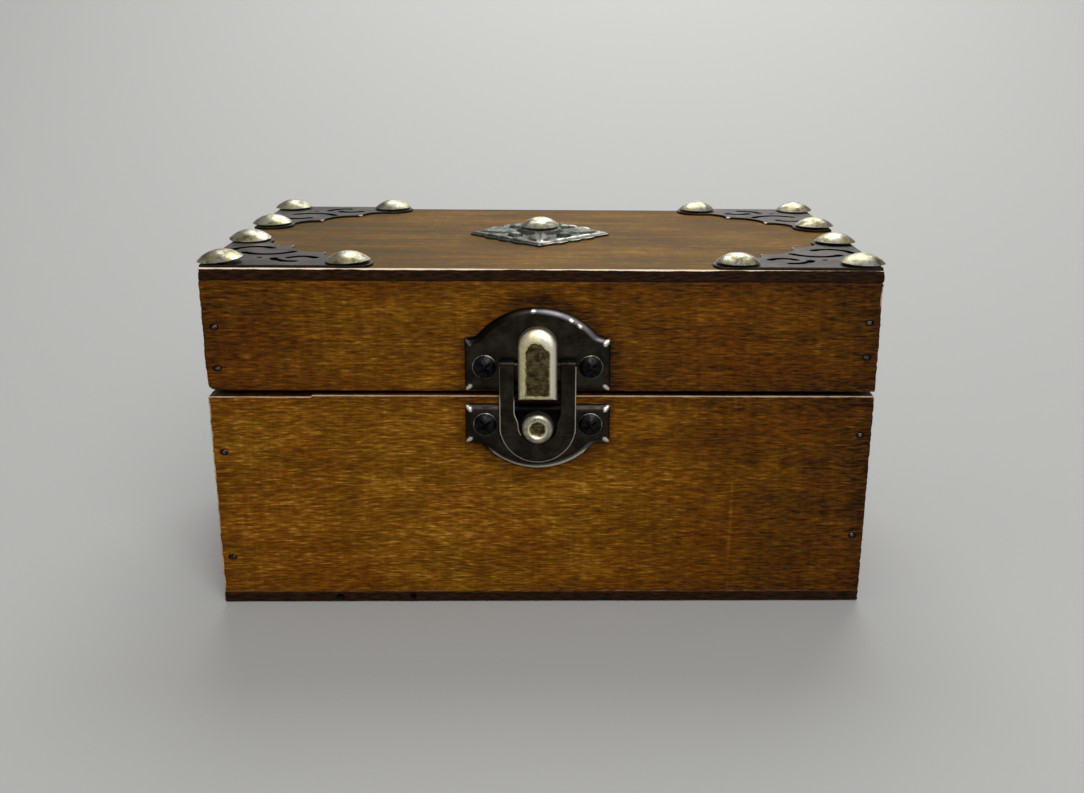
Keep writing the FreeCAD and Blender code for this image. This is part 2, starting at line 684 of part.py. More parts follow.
def latch_bail():
    """Two arms with rolled eyes, a rounded lower end, and a seat that goes round the post from below."""
    seat_r = POST_D / 2 + SEAT_SIDE_GAP
    seat_z = seat_bottom + seat_r
    bend_z = bail_bottom + bail_outer
    b = bail_back
    outside = [line(spot(bail_outer, bail_pin_z, b), spot(bail_outer, bend_z, b)),
               arc(spot(bail_outer, bend_z, b), spot(0, bail_bottom, b), spot(-bail_outer, bend_z, b)),
               line(spot(-bail_outer, bend_z, b), spot(-bail_outer, bail_pin_z, b))]
    inside = [line(spot(-bail_inner, bail_pin_z, b), spot(-bail_inner, seat_z + SEAT_FLARE, b)),
              line(spot(-bail_inner, seat_z + SEAT_FLARE, b), spot(-seat_r, seat_z, b)),
              arc(spot(-seat_r, seat_z, b), spot(0, seat_bottom, b), spot(seat_r, seat_z, b)),
              line(spot(seat_r, seat_z, b), spot(bail_inner, seat_z + SEAT_FLARE, b)),
              line(spot(bail_inner, seat_z + SEAT_FLARE, b), spot(bail_inner, bail_pin_z, b))]
    ends = [line(spot(-bail_outer, bail_pin_z, b), spot(-bail_inner, bail_pin_z, b)),
            line(spot(bail_inner, bail_pin_z, b), spot(bail_outer, bail_pin_z, b))]
    flat = raised(outside + [ends[0]] + inside + [ends[1]], bail_back, bail_front)
    long_edges = [edge for edge in edges_at(flat, bail_front) if edge.BoundBox.ZLength > BAIL_BEVEL]
    flat = flat.makeChamfer(BAIL_BEVEL, long_edges)
    step_top = post_z - BAIL_LIP_FROM_POST
    step = Part.makeBox(2 * bail_outer, 2 * BAIL_LIP_STEP, step_top - bail_bottom,
                        spot(-bail_outer, bail_bottom, bail_front + BAIL_LIP_STEP))
    flat = flat.cut(step)
    eyes = [rod(spot(x, bail_pin_z, bail_pin_out), Vector(1, 0, 0), eye_r, BAIL_ARM_W)
            for x in (-bail_outer, bail_inner)]
    whole = flat.fuse(eyes)
    return whole.cut(cross_rod(bail_pin_z, bail_pin_out, BAIL_PIN / 2 + RUNNING_GAP, 2 * bail_outer))


# Butt hinges.

knuckle_r = HINGE_PIN / 2 + KNUCKLE_WALL
axis_y = BACK + knuckle_r
axis_z = BASE_HEIGHT + SEAM_GAP / 2
hinge_middles = {"left": LEFT + HINGE_INSET, "right": RIGHT - HINGE_INSET}
hinge_nail_length = LEAF_T + HINGE_NAIL_BITE
hinge_nail = round_head(HINGE_NAIL_HEAD, HINGE_NAIL_HEAD_H, HINGE_NAIL_HEAD_H / 3, HINGE_NAIL_SHANK,
                        hinge_nail_length)
hinge_hole = pilot(HINGE_NAIL_SHANK, hinge_nail_length)


def hinge_nail_points(way):
    """Nail points of both hinges, below the axis for way -1 and above it for way 1."""
    points = []
    for middle in hinge_middles.values():
        for side in (-1, 1):
            x = middle + side * HINGE_NAIL_SPACING / 2
            points.append(Vector(x, BACK + LEAF_T, axis_z + way * HINGE_NAIL_DOWN))
    return points


def hinge_leaf(middle, way):
    """A leaf with its own knuckles on the axis and notches for the other leaf's."""
    x0 = middle - HINGE_L / 2
    z0 = min(axis_z, axis_z + way * LEAF_H)
    plate = Part.makeBox(HINGE_L, LEAF_T, LEAF_H, Vector(x0, BACK, z0))
    outer = [edge for edge in plate.Edges if edge.BoundBox.YLength > LEAF_T / 2
             and abs(edge.BoundBox.ZMin - axis_z) > LEAF_H / 2]
    plate = plate.makeFillet(LEAF_CORNER, outer)
    pitch = HINGE_L / KNUCKLES
    own = []
    notches = []
    for k in range(KNUCKLES):
        start = x0 + k * pitch
        if (k % 2 == 0) == (way < 0):
            first = KNUCKLE_GAP / 2 if k else 0
            last = KNUCKLE_GAP / 2 if k < KNUCKLES - 1 else 0
            end = Vector(start + first, axis_y, axis_z)
            own.append(rod(end, Vector(1, 0, 0), knuckle_r, pitch - first - last))
        else:
            reach = knuckle_r + KNUCKLE_GAP
            notches.append(Part.makeBox(pitch + KNUCKLE_GAP, 2 * knuckle_r, 2 * reach,
                                        Vector(start - KNUCKLE_GAP / 2, BACK, axis_z - reach)))
    whole = plate.cut(notches).fuse(own)
    gap = HELD_GAP if way < 0 else RUNNING_GAP
    bore = rod(Vector(x0, axis_y, axis_z), Vector(1, 0, 0), HINGE_PIN / 2 + gap, HINGE_L)
    holes = [placed(hinge_hole, point, BACKWARD) for point in hinge_nail_points(way)]
    return drilled(whole.cut(bore), holes)


hinge_nails = {way: [placed(hinge_nail, point, BACKWARD) for point in hinge_nail_points(way)]
               for way in (-1, 1)}
hinge_holes = [placed(hinge_hole, point, BACKWARD) for way in (-1, 1) for point in hinge_nail_points(way)]

# Every piece by name.

parts = {}
wall_holes = brad_holes + screw_holes + hinge_holes
inner_left = LEFT + WALL
inner_right = RIGHT - WALL
inner_front = FRONT + WALL
inner_back = BACK - WALL

for name, z0, z1, holes in (("base", BOTTOM_PLY, BASE_HEIGHT, wall_holes),
                            ("lid", LID_BOTTOM, LID_WALL_TOP, wall_holes + top_holes)):
    parts[name + "_front_board"] = drilled(board(LEFT, RIGHT, FRONT, inner_front, z0, z1), holes)
    parts[name + "_back_board"] = drilled(board(LEFT, RIGHT, inner_back, BACK, z0, z1), holes)
    parts[name + "_left_board"] = drilled(board(LEFT, inner_left, inner_front, inner_back, z0, z1), holes)
    parts[name + "_right_board"] = drilled(board(inner_right, RIGHT, inner_front, inner_back, z0, z1), holes)
parts["bottom_board"] = board(LEFT, RIGHT, FRONT, BACK, 0, BOTTOM_PLY)
parts["lid_top_board"] = drilled(board(LEFT, RIGHT, FRONT, BACK, LID_WALL_TOP, LID_TOP), top_holes)

for name, points in (("base", base_brads), ("lid", lid_brads)):
    parts[name + "_front_brads"] = Part.makeCompound(brad_row(brad_solid, points, FRONT, FORWARD))
    parts[name + "_back_brads"] = Part.makeCompound(brad_row(brad_solid, points, BACK, BACKWARD))

for where in corner_plates:
    parts["corner_plate_" + where] = corner_plates[where]
    parts["corner_nails_" + where] = corner_nails[where]
parts["diamond_ornament"] = ornament()
parts["ornament_nail"] = ornament_nail

parts["latch_plate"] = latch_plate()
parts["latch_screws"] = Part.makeCompound(latch_screws)
parts["latch_lever"] = latch_lever()
parts["lever_pin"] = cross_rod(pivot_z, pivot_out, LEVER_PIN / 2, lever_half)
parts["latch_bail"] = latch_bail()
parts["bail_pin"] = cross_rod(bail_pin_z, bail_pin_out, BAIL_PIN / 2, bail_outer)
parts["keeper_plate"] = keeper_plate()
parts["keeper_post"] = keeper_post()
parts["keeper_screws"] = Part.makeCompound(keeper_screws)

for side, middle in hinge_middles.items():
    parts[side + "_hinge_base_leaf"] = hinge_leaf(middle, -1)
    parts[side + "_hinge_lid_leaf"] = hinge_leaf(middle, 1)
    pin_end = Vector(middle - HINGE_L / 2, axis_y, axis_z)
    parts[side + "_hinge_pin"] = rod(pin_end, Vector(1, 0, 0), HINGE_PIN / 2, HINGE_L)
parts["hinge_base_nails"] = Part.makeCompound(hinge_nails[-1])
parts["hinge_lid_nails"] = Part.makeCompound(hinge_nails[1])

os.makedirs("parts", exist_ok=True)
for name, shape in parts.items():
    solids = shape.Solids
    if not solids or not all(solid.isValid() for solid in solids):
        raise ValueError(name + " has no valid solid")
    shape.exportStep("parts/" + name + ".step")

print(len(parts), "pieces")
print("hinge axis  y %.3f  z %.3f" % (axis_y, axis_z))
print("lever axis  x %.3f  y %.3f  z %.3f" % (LATCH_X, FRONT - pivot_out, pivot_z))
print("bail axis   x %.3f  y %.3f  z %.3f" % (LATCH_X, FRONT - bail_pin_out, bail_pin_z))
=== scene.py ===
# %% [markdown]
# # A hinged keepsake box with a toggle latch
# A small stained wooden box: thin boards pinned with brads, pierced corner plates under dome nails,
# a stamped diamond on the lid and a toggle latch on the front.
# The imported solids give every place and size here.
# This lesson gives each piece its worn shape and its finish.

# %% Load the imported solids
import json
import math

import bmesh
import bpy
import numpy as np
from mathutils import Matrix, Vector, noise


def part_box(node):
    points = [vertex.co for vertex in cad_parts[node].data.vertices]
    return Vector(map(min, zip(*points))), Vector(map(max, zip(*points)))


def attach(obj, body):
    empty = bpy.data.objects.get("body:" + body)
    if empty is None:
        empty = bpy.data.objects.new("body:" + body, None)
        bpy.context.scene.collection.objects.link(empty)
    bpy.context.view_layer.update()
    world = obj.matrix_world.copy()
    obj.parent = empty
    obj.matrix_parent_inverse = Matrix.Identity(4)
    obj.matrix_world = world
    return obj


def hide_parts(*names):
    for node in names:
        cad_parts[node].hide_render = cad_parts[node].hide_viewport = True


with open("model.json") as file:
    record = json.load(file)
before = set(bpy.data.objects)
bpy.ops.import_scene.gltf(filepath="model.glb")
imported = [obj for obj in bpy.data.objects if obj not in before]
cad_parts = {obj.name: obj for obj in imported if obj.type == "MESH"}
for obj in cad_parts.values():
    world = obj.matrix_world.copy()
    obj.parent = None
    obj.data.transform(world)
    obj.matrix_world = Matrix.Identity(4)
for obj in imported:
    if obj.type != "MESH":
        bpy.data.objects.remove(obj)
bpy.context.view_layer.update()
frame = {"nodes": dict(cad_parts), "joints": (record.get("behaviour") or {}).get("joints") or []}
MM = 0.001
scene = bpy.context.scene

# %% [markdown]
# ## The camera
# The box is seen a little from above, from close by. A camera was fitted to the corners of the box,
# which gives a focal length in pixels, a place, and three small angles.
# Blender wants a lens for a 36 mm sensor, and a shift where the optical axis is off the middle of the frame.

# %% Camera
IMAGE_WIDTH = 1084
IMAGE_HEIGHT = 793
FOCAL_PIXELS = 1201.7
AXIS_PIXEL = (580.0, 398.5)
CAMERA_PLACE = Vector((1.4, -302.3, 130.7)) * MM
PITCH_DOWN = 0.3015
YAW_RIGHT = 0.0263
ROLL = 0.0098

ahead = Vector((math.sin(YAW_RIGHT) * math.cos(PITCH_DOWN), math.cos(YAW_RIGHT) * math.cos(PITCH_DOWN),
                -math.sin(PITCH_DOWN)))
level = Vector((math.cos(YAW_RIGHT), -math.sin(YAW_RIGHT), 0))
upright = level.cross(ahead)
right = level * math.cos(ROLL) + upright * math.sin(ROLL)
upward = upright * math.cos(ROLL) - level * math.sin(ROLL)

lens = bpy.data.cameras.new("camera")
lens.sensor_width = 36
lens.lens = lens.sensor_width * FOCAL_PIXELS / IMAGE_WIDTH
lens.shift_x = (IMAGE_WIDTH / 2 - AXIS_PIXEL[0]) / IMAGE_WIDTH
lens.shift_y = (AXIS_PIXEL[1] - IMAGE_HEIGHT / 2) / IMAGE_WIDTH
lens.clip_start = 0.01
camera = bpy.data.objects.new("camera", lens)
camera.matrix_world = Matrix.Translation(CAMERA_PLACE) @ Matrix((right, upward, -ahead)).transposed().to_4x4()
scene.collection.objects.link(camera)
scene.camera = camera
scene.view_settings.view_transform = "Standard"
print("lens in mm", round(lens.lens, 2))

# %% [markdown]
# ## Node helpers
# Shaders and Geometry Nodes are both trees of nodes. One small function adds a node, sets its options,
# and either sets each input or links it, so that a finish below reads as a list of what it is mixed from.

# %% Node helpers


def socket(sockets, key):
    """An input or output by name, the one in use where several share a name."""
    return next(s for s in sockets if s.name == key and s.enabled and not s.is_unavailable)


def add(tree, kind, values=None, **settings):
    """A node with its settings made and its inputs set, or linked where a value is another node's output."""
    made = tree.nodes.new(kind)
    for key, value in settings.items():
        setattr(made, key, value)
    for key, value in (values or {}).items():
        target = made.inputs[key] if isinstance(key, int) else socket(made.inputs, key)
        if isinstance(value, bpy.types.NodeSocket):
            tree.links.new(value, target)
        else:
            target.default_value = value
    return made


def calc(tree, operation, a, b=0.0):
    return add(tree, "ShaderNodeMath", {0: a, 1: b}, operation=operation).outputs[0]


def vector_calc(tree, operation, a, b):
    return add(tree, "ShaderNodeVectorMath", {0: a, 1: b}, operation=operation).outputs[0]


def total(tree, *terms):
    """The sum of several values."""
    result = terms[0]
    for term in terms[1:]:
        result = calc(tree, "ADD", result, term)
    return result


def swing(tree, value, amount):
    """A noise value, centred on zero and scaled."""
    return calc(tree, "MULTIPLY", calc(tree, "SUBTRACT", value, 0.5), amount)


def spread(tree, value, low, high, start=0.0, end=1.0):
    """A value between low and high eased to run from start to end."""
    values = {"Value": value, "From Min": low, "From Max": high, "To Min": start, "To Max": end}
    return add(tree, "ShaderNodeMapRange", values, interpolation_type="SMOOTHSTEP").outputs[0]


def opaque(colour):
    """A colour with its alpha, or another node's output as it is."""
    return (*colour, 1) if isinstance(colour, tuple) else colour


def blend_colour(tree, share, first, second, how="MIX"):
    values = {"Factor": share, "A": opaque(first), "B": opaque(second)}
    return socket(add(tree, "ShaderNodeMix", values, data_type="RGBA", blend_type=how).outputs, "Result")


def stretched_noise(tree, place, size, detail=2.0, roughness=0.55):
    """Noise whose lumps have the given size along X, Y and Z, in metres."""
    scaled = vector_calc(tree, "MULTIPLY", place, [1 / side for side in size])
    values = {"Vector": scaled, "Scale": 1.0, "Detail": detail, "Roughness": roughness}
    return add(tree, "ShaderNodeTexNoise", values).outputs["Fac"]


def attribute(tree, name):
    return add(tree, "ShaderNodeAttribute", attribute_name=name).outputs["Fac"]


def shifted_place(tree, shift):
    """Object coordinates moved by a shift in metres, so that two pieces don't share a pattern."""
    place = add(tree, "ShaderNodeTexCoord").outputs["Object"]
    return add(tree, "ShaderNodeMapping", {"Vector": place, "Location": shift}).outputs[0]


def finish_of(name):
    """A new material's tree and its surface shader."""
    material = bpy.data.materials.new(name)
    material.use_nodes = True
    return material, material.node_tree, material.node_tree.nodes["Principled BSDF"]


def raise_bump(tree, surface, height, depth, strength=1.0):
    values = {"Height": height, "Distance": depth, "Strength": strength}
    tree.links.new(add(tree, "ShaderNodeBump", values).outputs[0], surface.inputs["Normal"])


# %% [markdown]
# ## Floor and light
# A pale floor runs back and curves up into a wall, as in a small photo studio, so there is no horizon.
# Two large soft lamps give the plain light: one above and in front, one above and behind,
# which also puts the pale sheen on the lid. The world adds an even fill.

# %% Floor and backdrop
FLOOR_DROP = 0.0002
FLOOR_FRONT = -2.0
CURVE_START = 0.25
CURVE_RADIUS = 1.2
CURVE_STEPS = 24
WALL_TOP = 2.4
FLOOR_HALF_WIDTH = 2.5
PAPER_GREY = (0.41, 0.41, 0.40)

side_view = [(FLOOR_FRONT, 0.0), (CURVE_START, 0.0)]
for step in range(1, CURVE_STEPS + 1):
    angle = math.pi / 2 * step / CURVE_STEPS
    side_view.append((CURVE_START + CURVE_RADIUS * math.sin(angle), CURVE_RADIUS * (1 - math.cos(angle))))
side_view.append((CURVE_START + CURVE_RADIUS, WALL_TOP))
floor_points = [(x, y, z - FLOOR_DROP) for y, z in side_view for x in (-FLOOR_HALF_WIDTH, FLOOR_HALF_WIDTH)]
floor_faces = [(2 * k, 2 * k + 1, 2 * k + 3, 2 * k + 2) for k in range(len(side_view) - 1)]
floor_mesh = bpy.data.meshes.new("studio_floor")
floor_mesh.from_pydata(floor_points, [], floor_faces)
floor_mesh.shade_smooth()
studio_floor = bpy.data.objects.new("studio_floor", floor_mesh)
scene.collection.objects.link(studio_floor)
floor_paint, tree, surface = finish_of("studio_paper")
surface.inputs["Base Color"].default_value = opaque(PAPER_GREY)
surface.inputs["Roughness"].default_value = 0.8
surface.inputs["Specular IOR Level"].default_value = 0.2
floor_mesh.materials.append(floor_paint)
print("floor", len(floor_mesh.polygons), "faces")

# %% Lamps and fill
FILL_COLOUR = (1.0, 0.99, 0.97)
FILL_STRENGTH = 0.34


def soft_lamp(name, place, aim, size, power):
    light = bpy.data.lights.new(name, "AREA")
    light.shape = "DISK"
    light.size = size
    light.energy = power
    lamp = bpy.data.objects.new(name, light)
    lamp.location = place
    lamp.rotation_euler = (Vector(aim) - Vector(place)).to_track_quat("-Z", "Y").to_euler()
    scene.collection.objects.link(lamp)


soft_lamp("front_lamp", (0.2, -0.85, 0.75), (0, 0, 0.04), 0.8, 8.8)
soft_lamp("back_lamp", (0.1, 0.85, 0.95), (0, 0.5, 0.0), 1.0, 11.5)
world = bpy.data.worlds.new("studio_fill")
world.use_nodes = True
fill = world.node_tree.nodes["Background"].inputs
fill["Color"].default_value = opaque(FILL_COLOUR)
fill["Strength"].default_value = FILL_STRENGTH
scene.world = world

# %% [markdown]
# ## Stained wood
# The boards are a pale, close-grained wood under a brown stain that was wiped thin.
# The stain gathers in blotches and along the edges, the wood is darker in an oval round the latch,
# and short golden flecks run along the grain.
# A picture of wood would stop at the corners, so the grain is noise in space, stretched along the board:
# it runs round every edge and turns to specks on the end grain by itself.
# Three values that the mesh carries steer the rest: the distance to the nearest edge,
# how rubbed that edge is, and how much darker a spot is, from stain and from painted shade in dents and gaps.

# %% Stained wood
STAIN = [(0.00, (0.400, 0.210, 0.030)), (0.26, (0.200, 0.083, 0.0040)), (0.50, (0.110, 0.039, 0.0016)),
         (0.76, (0.054, 0.0185, 0.0016)), (1.00, (0.014, 0.0054, 0.0016))]
RED_TINT = (1.0, 0.85, 0.92)
# Rubbed bare wood, made pale enough to hold a painted highlight along the lid's front edge.
BARE_WOOD_AND_HIGHLIGHT = (0.86, 0.71, 0.53)
WORN_WOOD = (0.40, 0.295, 0.19)
# A pale layer that paints the lid top's sheen into its colour.
SHEEN_FILM = (0.16, 0.145, 0.065)


def stain_ramp(tree, value):
    """The stain's colour for a depth from 0 to 1."""
    ramp = add(tree, "ShaderNodeValToRGB", {0: value})
    stops = ramp.color_ramp.elements
    while len(stops) < len(STAIN):
        stops.new(0.5)
    for stop, (position, colour) in zip(stops, STAIN):
        stop.position = position
        stop.color = opaque(colour)
    return ramp.outputs["Color"]


def bare_share(tree, place, low, high):
    """Where the stain is rubbed off: the mesh's rub, made ragged by noise."""
    ragged = swing(tree, stretched_noise(tree, place, [4 * MM] * 3, 4.0, 0.7), 0.9)
    return spread(tree, total(tree, attribute(tree, "wear_and_light"), ragged), low, high)


def stained_wood(name, axis, shift, depth, leans=(), streak=None, gloss=0.05, sheen_film=0.0, bare=WORN_WOOD,
                 banding=0.30):
    """Wood with its grain along an axis. depth is the stain's mean depth from 0 to 1, leans are runs along X
    over which it deepens or thins, streak is the X of a pale scratch across the grain, film the share of a
    pale layer mixed in as a painted sheen, bare the colour of its rubbed edges and banding how much it is
    streaked along the grain."""
    material, tree, surface = finish_of(name)
    place = shifted_place(tree, shift)

    def grain_noise(where, length, width, detail=2.0):
        """Noise whose lumps have one length in mm on the grain's axis and one width across it."""
        return stretched_noise(tree, where, [(length if k == axis else width) * MM for k in range(3)], detail)

    wander = grain_noise(place, 45, 12)
    across = [0.0 if k == axis else 1.0 for k in range(3)]
    pushed = vector_calc(tree, "MULTIPLY", swing(tree, wander, 3.0 * MM), across)
    bent = vector_calc(tree, "ADD", place, pushed)
    flecks = grain_noise(bent, 2.7, 0.38, 3.0)
    dashes = grain_noise(bent, 3.0, 0.4, 1.0)
    fibres = grain_noise(bent, 9, 0.45)
    bands = grain_noise(bent, 30, 3.6)
    blotches = grain_noise(place, 24, 11, 3.0)
    rays = grain_noise(place, 0.9, 10)
    edge = spread(tree, attribute(tree, "margin"), 0.0, 6 * MM, 0.10, 0.0)
    # Darker where the mesh says so: an oval round the latch, and painted shade in dents, gaps and behind the
    # lever.
    stain_and_shade_darkening = calc(tree, "MULTIPLY", attribute(tree, "stain_and_shade"), spread(tree, blotches, 0.3, 0.7, 0.3, 0.7))
    terms = [edge, stain_and_shade_darkening, swing(tree, bands, banding), swing(tree, blotches, 0.46), swing(tree, rays, 0.20)]
    unshifted = add(tree, "ShaderNodeTexCoord").outputs["Object"]
    x = add(tree, "ShaderNodeSeparateXYZ", {0: unshifted}).outputs["X"]
    for lean in leans:
        terms.append(spread(tree, x, *lean))
    if streak:
        off = calc(tree, "ABSOLUTE", calc(tree, "SUBTRACT", x, streak))
        fade = spread(tree, stretched_noise(tree, place, [14 * MM] * 3), 0.38, 0.6)
        terms.append(calc(tree, "MULTIPLY", spread(tree, off, 0.1 * MM, 0.6 * MM, -0.22, 0.0), fade))
    grain = total(tree, swing(tree, flecks, 1.2), swing(tree, fibres, 0.40),
                  spread(tree, dashes, 0.5, 0.70, 0.04, -0.13))
    colour = stain_ramp(tree, total(tree, *terms, grain, depth))
    reds = grain_noise(place, 30, 16, 3.0)
    colour = blend_colour(tree, spread(tree, reds, 0.45, 0.7), colour, RED_TINT, "MULTIPLY")
    # A painted sheen: a pale layer mixed into the colour.
    colour = blend_colour(tree, sheen_film, colour, SHEEN_FILM)
    colour = blend_colour(tree, bare_share(tree, place, 0.48, 0.78), colour, bare)
    tree.links.new(colour, surface.inputs["Base Color"])
    tree.links.new(spread(tree, flecks, 0.2, 0.8, 0.55, 0.40), surface.inputs["Roughness"])
    surface.inputs["Specular IOR Level"].default_value = gloss
    raise_bump(tree, surface, total(tree, flecks, calc(tree, "MULTIPLY", fibres, 0.6)), 0.07 * MM, 0.6)
    return material


# %% [markdown]
# ## Worn boards
# A sawn board has sharp edges, and years of handling round them unevenly.
# Each board is a box of graded grid lines, close together at the edges. Every point is drawn to a rounded box
# whose radius changes along the edge with noise, so the edge looks handled and not machined.
# Where a brad was driven in, the wood is dented in a small oval, and torn plywood has pits of the same kind;
# both are painted dark inside as shade.
# Nothing is pushed outward, so the sizes hold.

# %% Board helpers
EDGE_LINES = np.array([0, 0.07, 0.16, 0.28, 0.43, 0.62, 0.9, 1.35, 2.0]) * MM
FLAT_STEP = 3.0 * MM
DENT_LINES = np.linspace(-1.6, 1.6, 19) * MM
LINE_GAP = 0.04 * MM


def grid_lines(low, high, dents=(), step=FLAT_STEP):
    """Grid lines from low to high, graded at both ends and round each dent."""
    flat = np.linspace(low, high, max(2, round((high - low) / step)) + 1)
    lines = [low + EDGE_LINES, high - EDGE_LINES, flat] + [dent + DENT_LINES for dent in dents]
    lines = np.sort(np.concatenate(lines))
    lines = lines[(lines >= low) & (lines <= high)]
    kept = [low]
    for value in lines:
        if value - kept[-1] > LINE_GAP:
            kept.append(value)
    if high - kept[-1] < LINE_GAP:
        kept.pop()
    return kept + [high]


def box_surface(lines):
    """Points and quads of a closed box whose faces carry the grid lines of the three axes."""
    counts = [len(axis) for axis in lines]
    index = {}
    points = []
    quads = []

    def point(key):
        if key not in index:
            index[key] = len(points)
            points.append([lines[axis][key[axis]] for axis in range(3)])
        return index[key]

    for axis in range(3):
        first, second = (axis + 1) % 3, (axis + 2) % 3
        for end in (0, counts[axis] - 1):
            for i in range(counts[first] - 1):
                for j in range(counts[second] - 1):
                    quad = []
                    for di, dj in ((0, 0), (1, 0), (1, 1), (0, 1)):
                        key = [0, 0, 0]
                        key[axis], key[first], key[second] = end, i + di, j + dj
                        quad.append(point(tuple(key)))
                    quads.append(quad if end else quad[::-1])
    return np.array(points), quads


def solid_boxes(node):
    """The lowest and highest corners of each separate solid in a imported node."""
    shape = bmesh.new()
    shape.from_mesh(frame["nodes"][node].data)
    bmesh.ops.remove_doubles(shape, verts=shape.verts, dist=1e-6)
    boxes = []
    waiting = set(shape.verts)
    while waiting:
        island = {waiting.pop()}
        edge = list(island)
        while edge:
            near = {e.other_vert(v) for v in edge for e in v.link_edges} - island
            island |= near
            edge = list(near)
        waiting -= island
        spots = np.array([v.co for v in island])
        boxes.append((Vector(spots.min(axis=0)), Vector(spots.max(axis=0))))
    shape.free()
    return sorted(boxes, key=lambda box: tuple(box[0]))


def lumpy(place, size):
    """Smooth noise from about 0 to 1 with lumps of a size in metres."""
    return 0.5 + 0.5 * noise.noise(Vector(place) / size)


def falloff(value, near, far):
    """One up to near, zero past far, eased between. It takes a number or an array."""
    share = np.clip((far - value) / (far - near), 0, 1)
    return share * share * (3 - 2 * share)


def new_piece(name, mesh, body, nodes):
    """A finished piece: it rides on a body and stands for its nodes, which it hides."""
    piece = bpy.data.objects.new(name, mesh)
    scene.collection.objects.link(piece)
    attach(piece, body)
    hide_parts(*nodes)
    return piece


# %% Boards worn at the edges
ARRIS = 0.42 * MM
EDGE_REACH = 3 * MM
RUB_REACH = 0.62 * MM
TEAR_STEP = 0.7 * MM
TEAR_DEPTH = 0.15 * MM
TEAR_SIZE = 0.9 * MM
DIP_HALF = 0.3 * MM
PIT_SHADE = 1.5


def worn_board(node, materials, rubbed, worn_spots=(), pits=(), stain_and_shade_darkening=None, dip=None, ply=False):
    """A board in its node's box. rubbed gives the rub of a point near an edge.
    worn_spots are (centre, reach, extra rounding) of corners that are knocked rounder.
    pits are (x, z, half width, half height, depth) of hollows in its outer face.
    soaked gives how much darker a point is: stain, and painted shade on the rim and behind the lever.
    dip is (x, depth): left of that x the top edge has sunk.
    A plywood board has its second material on the sawn edges."""
    low, high = (np.array(corner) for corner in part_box(node))
    steps = [pit[0] for pit in pits] + ([dip[0]] if dip else [])
    lines = [grid_lines(low[0], high[0], steps), grid_lines(low[1], high[1]),
             grid_lines(low[2], high[2], [pit[1] for pit in pits], TEAR_STEP)]
    points, quads = box_surface(lines)
    margins = np.sort(np.minimum(points - low, high - points), axis=1)[:, 1]
    stains_and_shades = np.array([stain_and_shade_darkening(spot) for spot in points]) if stain_and_shade_darkening else np.zeros(len(points))
    wear_and_light_values = np.zeros(len(points))
    shaped = points.copy()
    for k, spot in enumerate(points):
        if margins[k] > EDGE_REACH:
            continue
        radius = ARRIS * (0.35 + 0.9 * lumpy(spot, 9 * MM) + 0.5 * (lumpy(spot, 2.2 * MM) - 0.5))
        for centre, reach, extra in worn_spots:
            radius += extra * falloff(np.linalg.norm(spot - centre), 0, reach)
        inner = np.clip(spot, low + radius, high - radius)
        away = spot - inner
        length = np.linalg.norm(away)
        if length > 0:
            shaped[k] = inner + away * (radius / length)
        wear_and_light_values[k] = rubbed(spot, low, high) * max(0.0, 1 - margins[k] / RUB_REACH)
        torn = TEAR_DEPTH * max(0.0, 2.2 * lumpy((spot[0], spot[1] / 40, spot[2]), TEAR_SIZE) - 0.7)
        shaped[k, 0] += torn * falloff(spot[0] - low[0], 0, TEAR_SIZE)
        shaped[k, 0] -= torn * falloff(high[0] - spot[0], 0, TEAR_SIZE)
        if dip:
            sunk = falloff(spot[0], dip[0] - DIP_HALF, dip[0] + DIP_HALF)
            shaped[k, 2] -= dip[1] * sunk * falloff(high[2] - spot[2], 0.6 * MM, 2.6 * MM)
    outward = -1 if low[1] < 0 else 1
    on_face = np.abs(points[:, 1] - (low[1] if outward < 0 else high[1])) < 1e-7
    for x, z, half_x, half_z, depth in pits:
        away = np.hypot((points[:, 0] - x) / half_x, (points[:, 2] - z) / half_z)
        shaped[on_face, 1] -= (outward * depth * falloff(away, 0.7, 1.0))[on_face]
        # Painted shade in each dent and void.
        stains_and_shades[on_face] = np.maximum(stains_and_shades, PIT_SHADE * falloff(away, 0.85, 1.25))[on_face]
    mesh = bpy.data.meshes.new(node)
    mesh.from_pydata(shaped.tolist(), [], quads)
    for label, values in (("margin", margins), ("wear_and_light", wear_and_light_values), ("stain_and_shade", stains_and_shades)):
        mesh.attributes.new(label, "FLOAT", "POINT").data.foreach_set("value", values.astype(np.float32))
    for material in materials:
        mesh.materials.append(material)
    mesh.shade_smooth()
    if ply:
        for polygon in mesh.polygons:
            polygon.material_index = 0 if abs(polygon.normal.z) > 0.75 else 1
    return mesh


# %% Make the side boards
latch_low, latch_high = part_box("latch_plate")
latch_x = (latch_low.x + latch_high.x) / 2
latch_z = (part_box("keeper_plate")[0].z + latch_high.z) / 2
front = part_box("base_front_board")[0].y
base_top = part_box("base_front_board")[1].z
BRAD_PIT = (0.92 * MM, 0.68 * MM, 0.5 * MM)
SEAM_STEP = -52 * MM
SEAM_DIP = 0.36 * MM
STREAKS = {"base_front": 43.5 * MM}
# Runs along X over which the stain changes: where it starts and ends, and how much is added there.
LEANS = {"base_front": [(-0.005, 0.075, 0.0, 0.34), (-0.075, -0.04, 0.03, 0.0)],
         "lid_front": [(-0.074, -0.035, 0.19, 0.0), (0.0, 0.03, 0.0, 0.17), (0.04, 0.075, 0.0, 0.09)]}
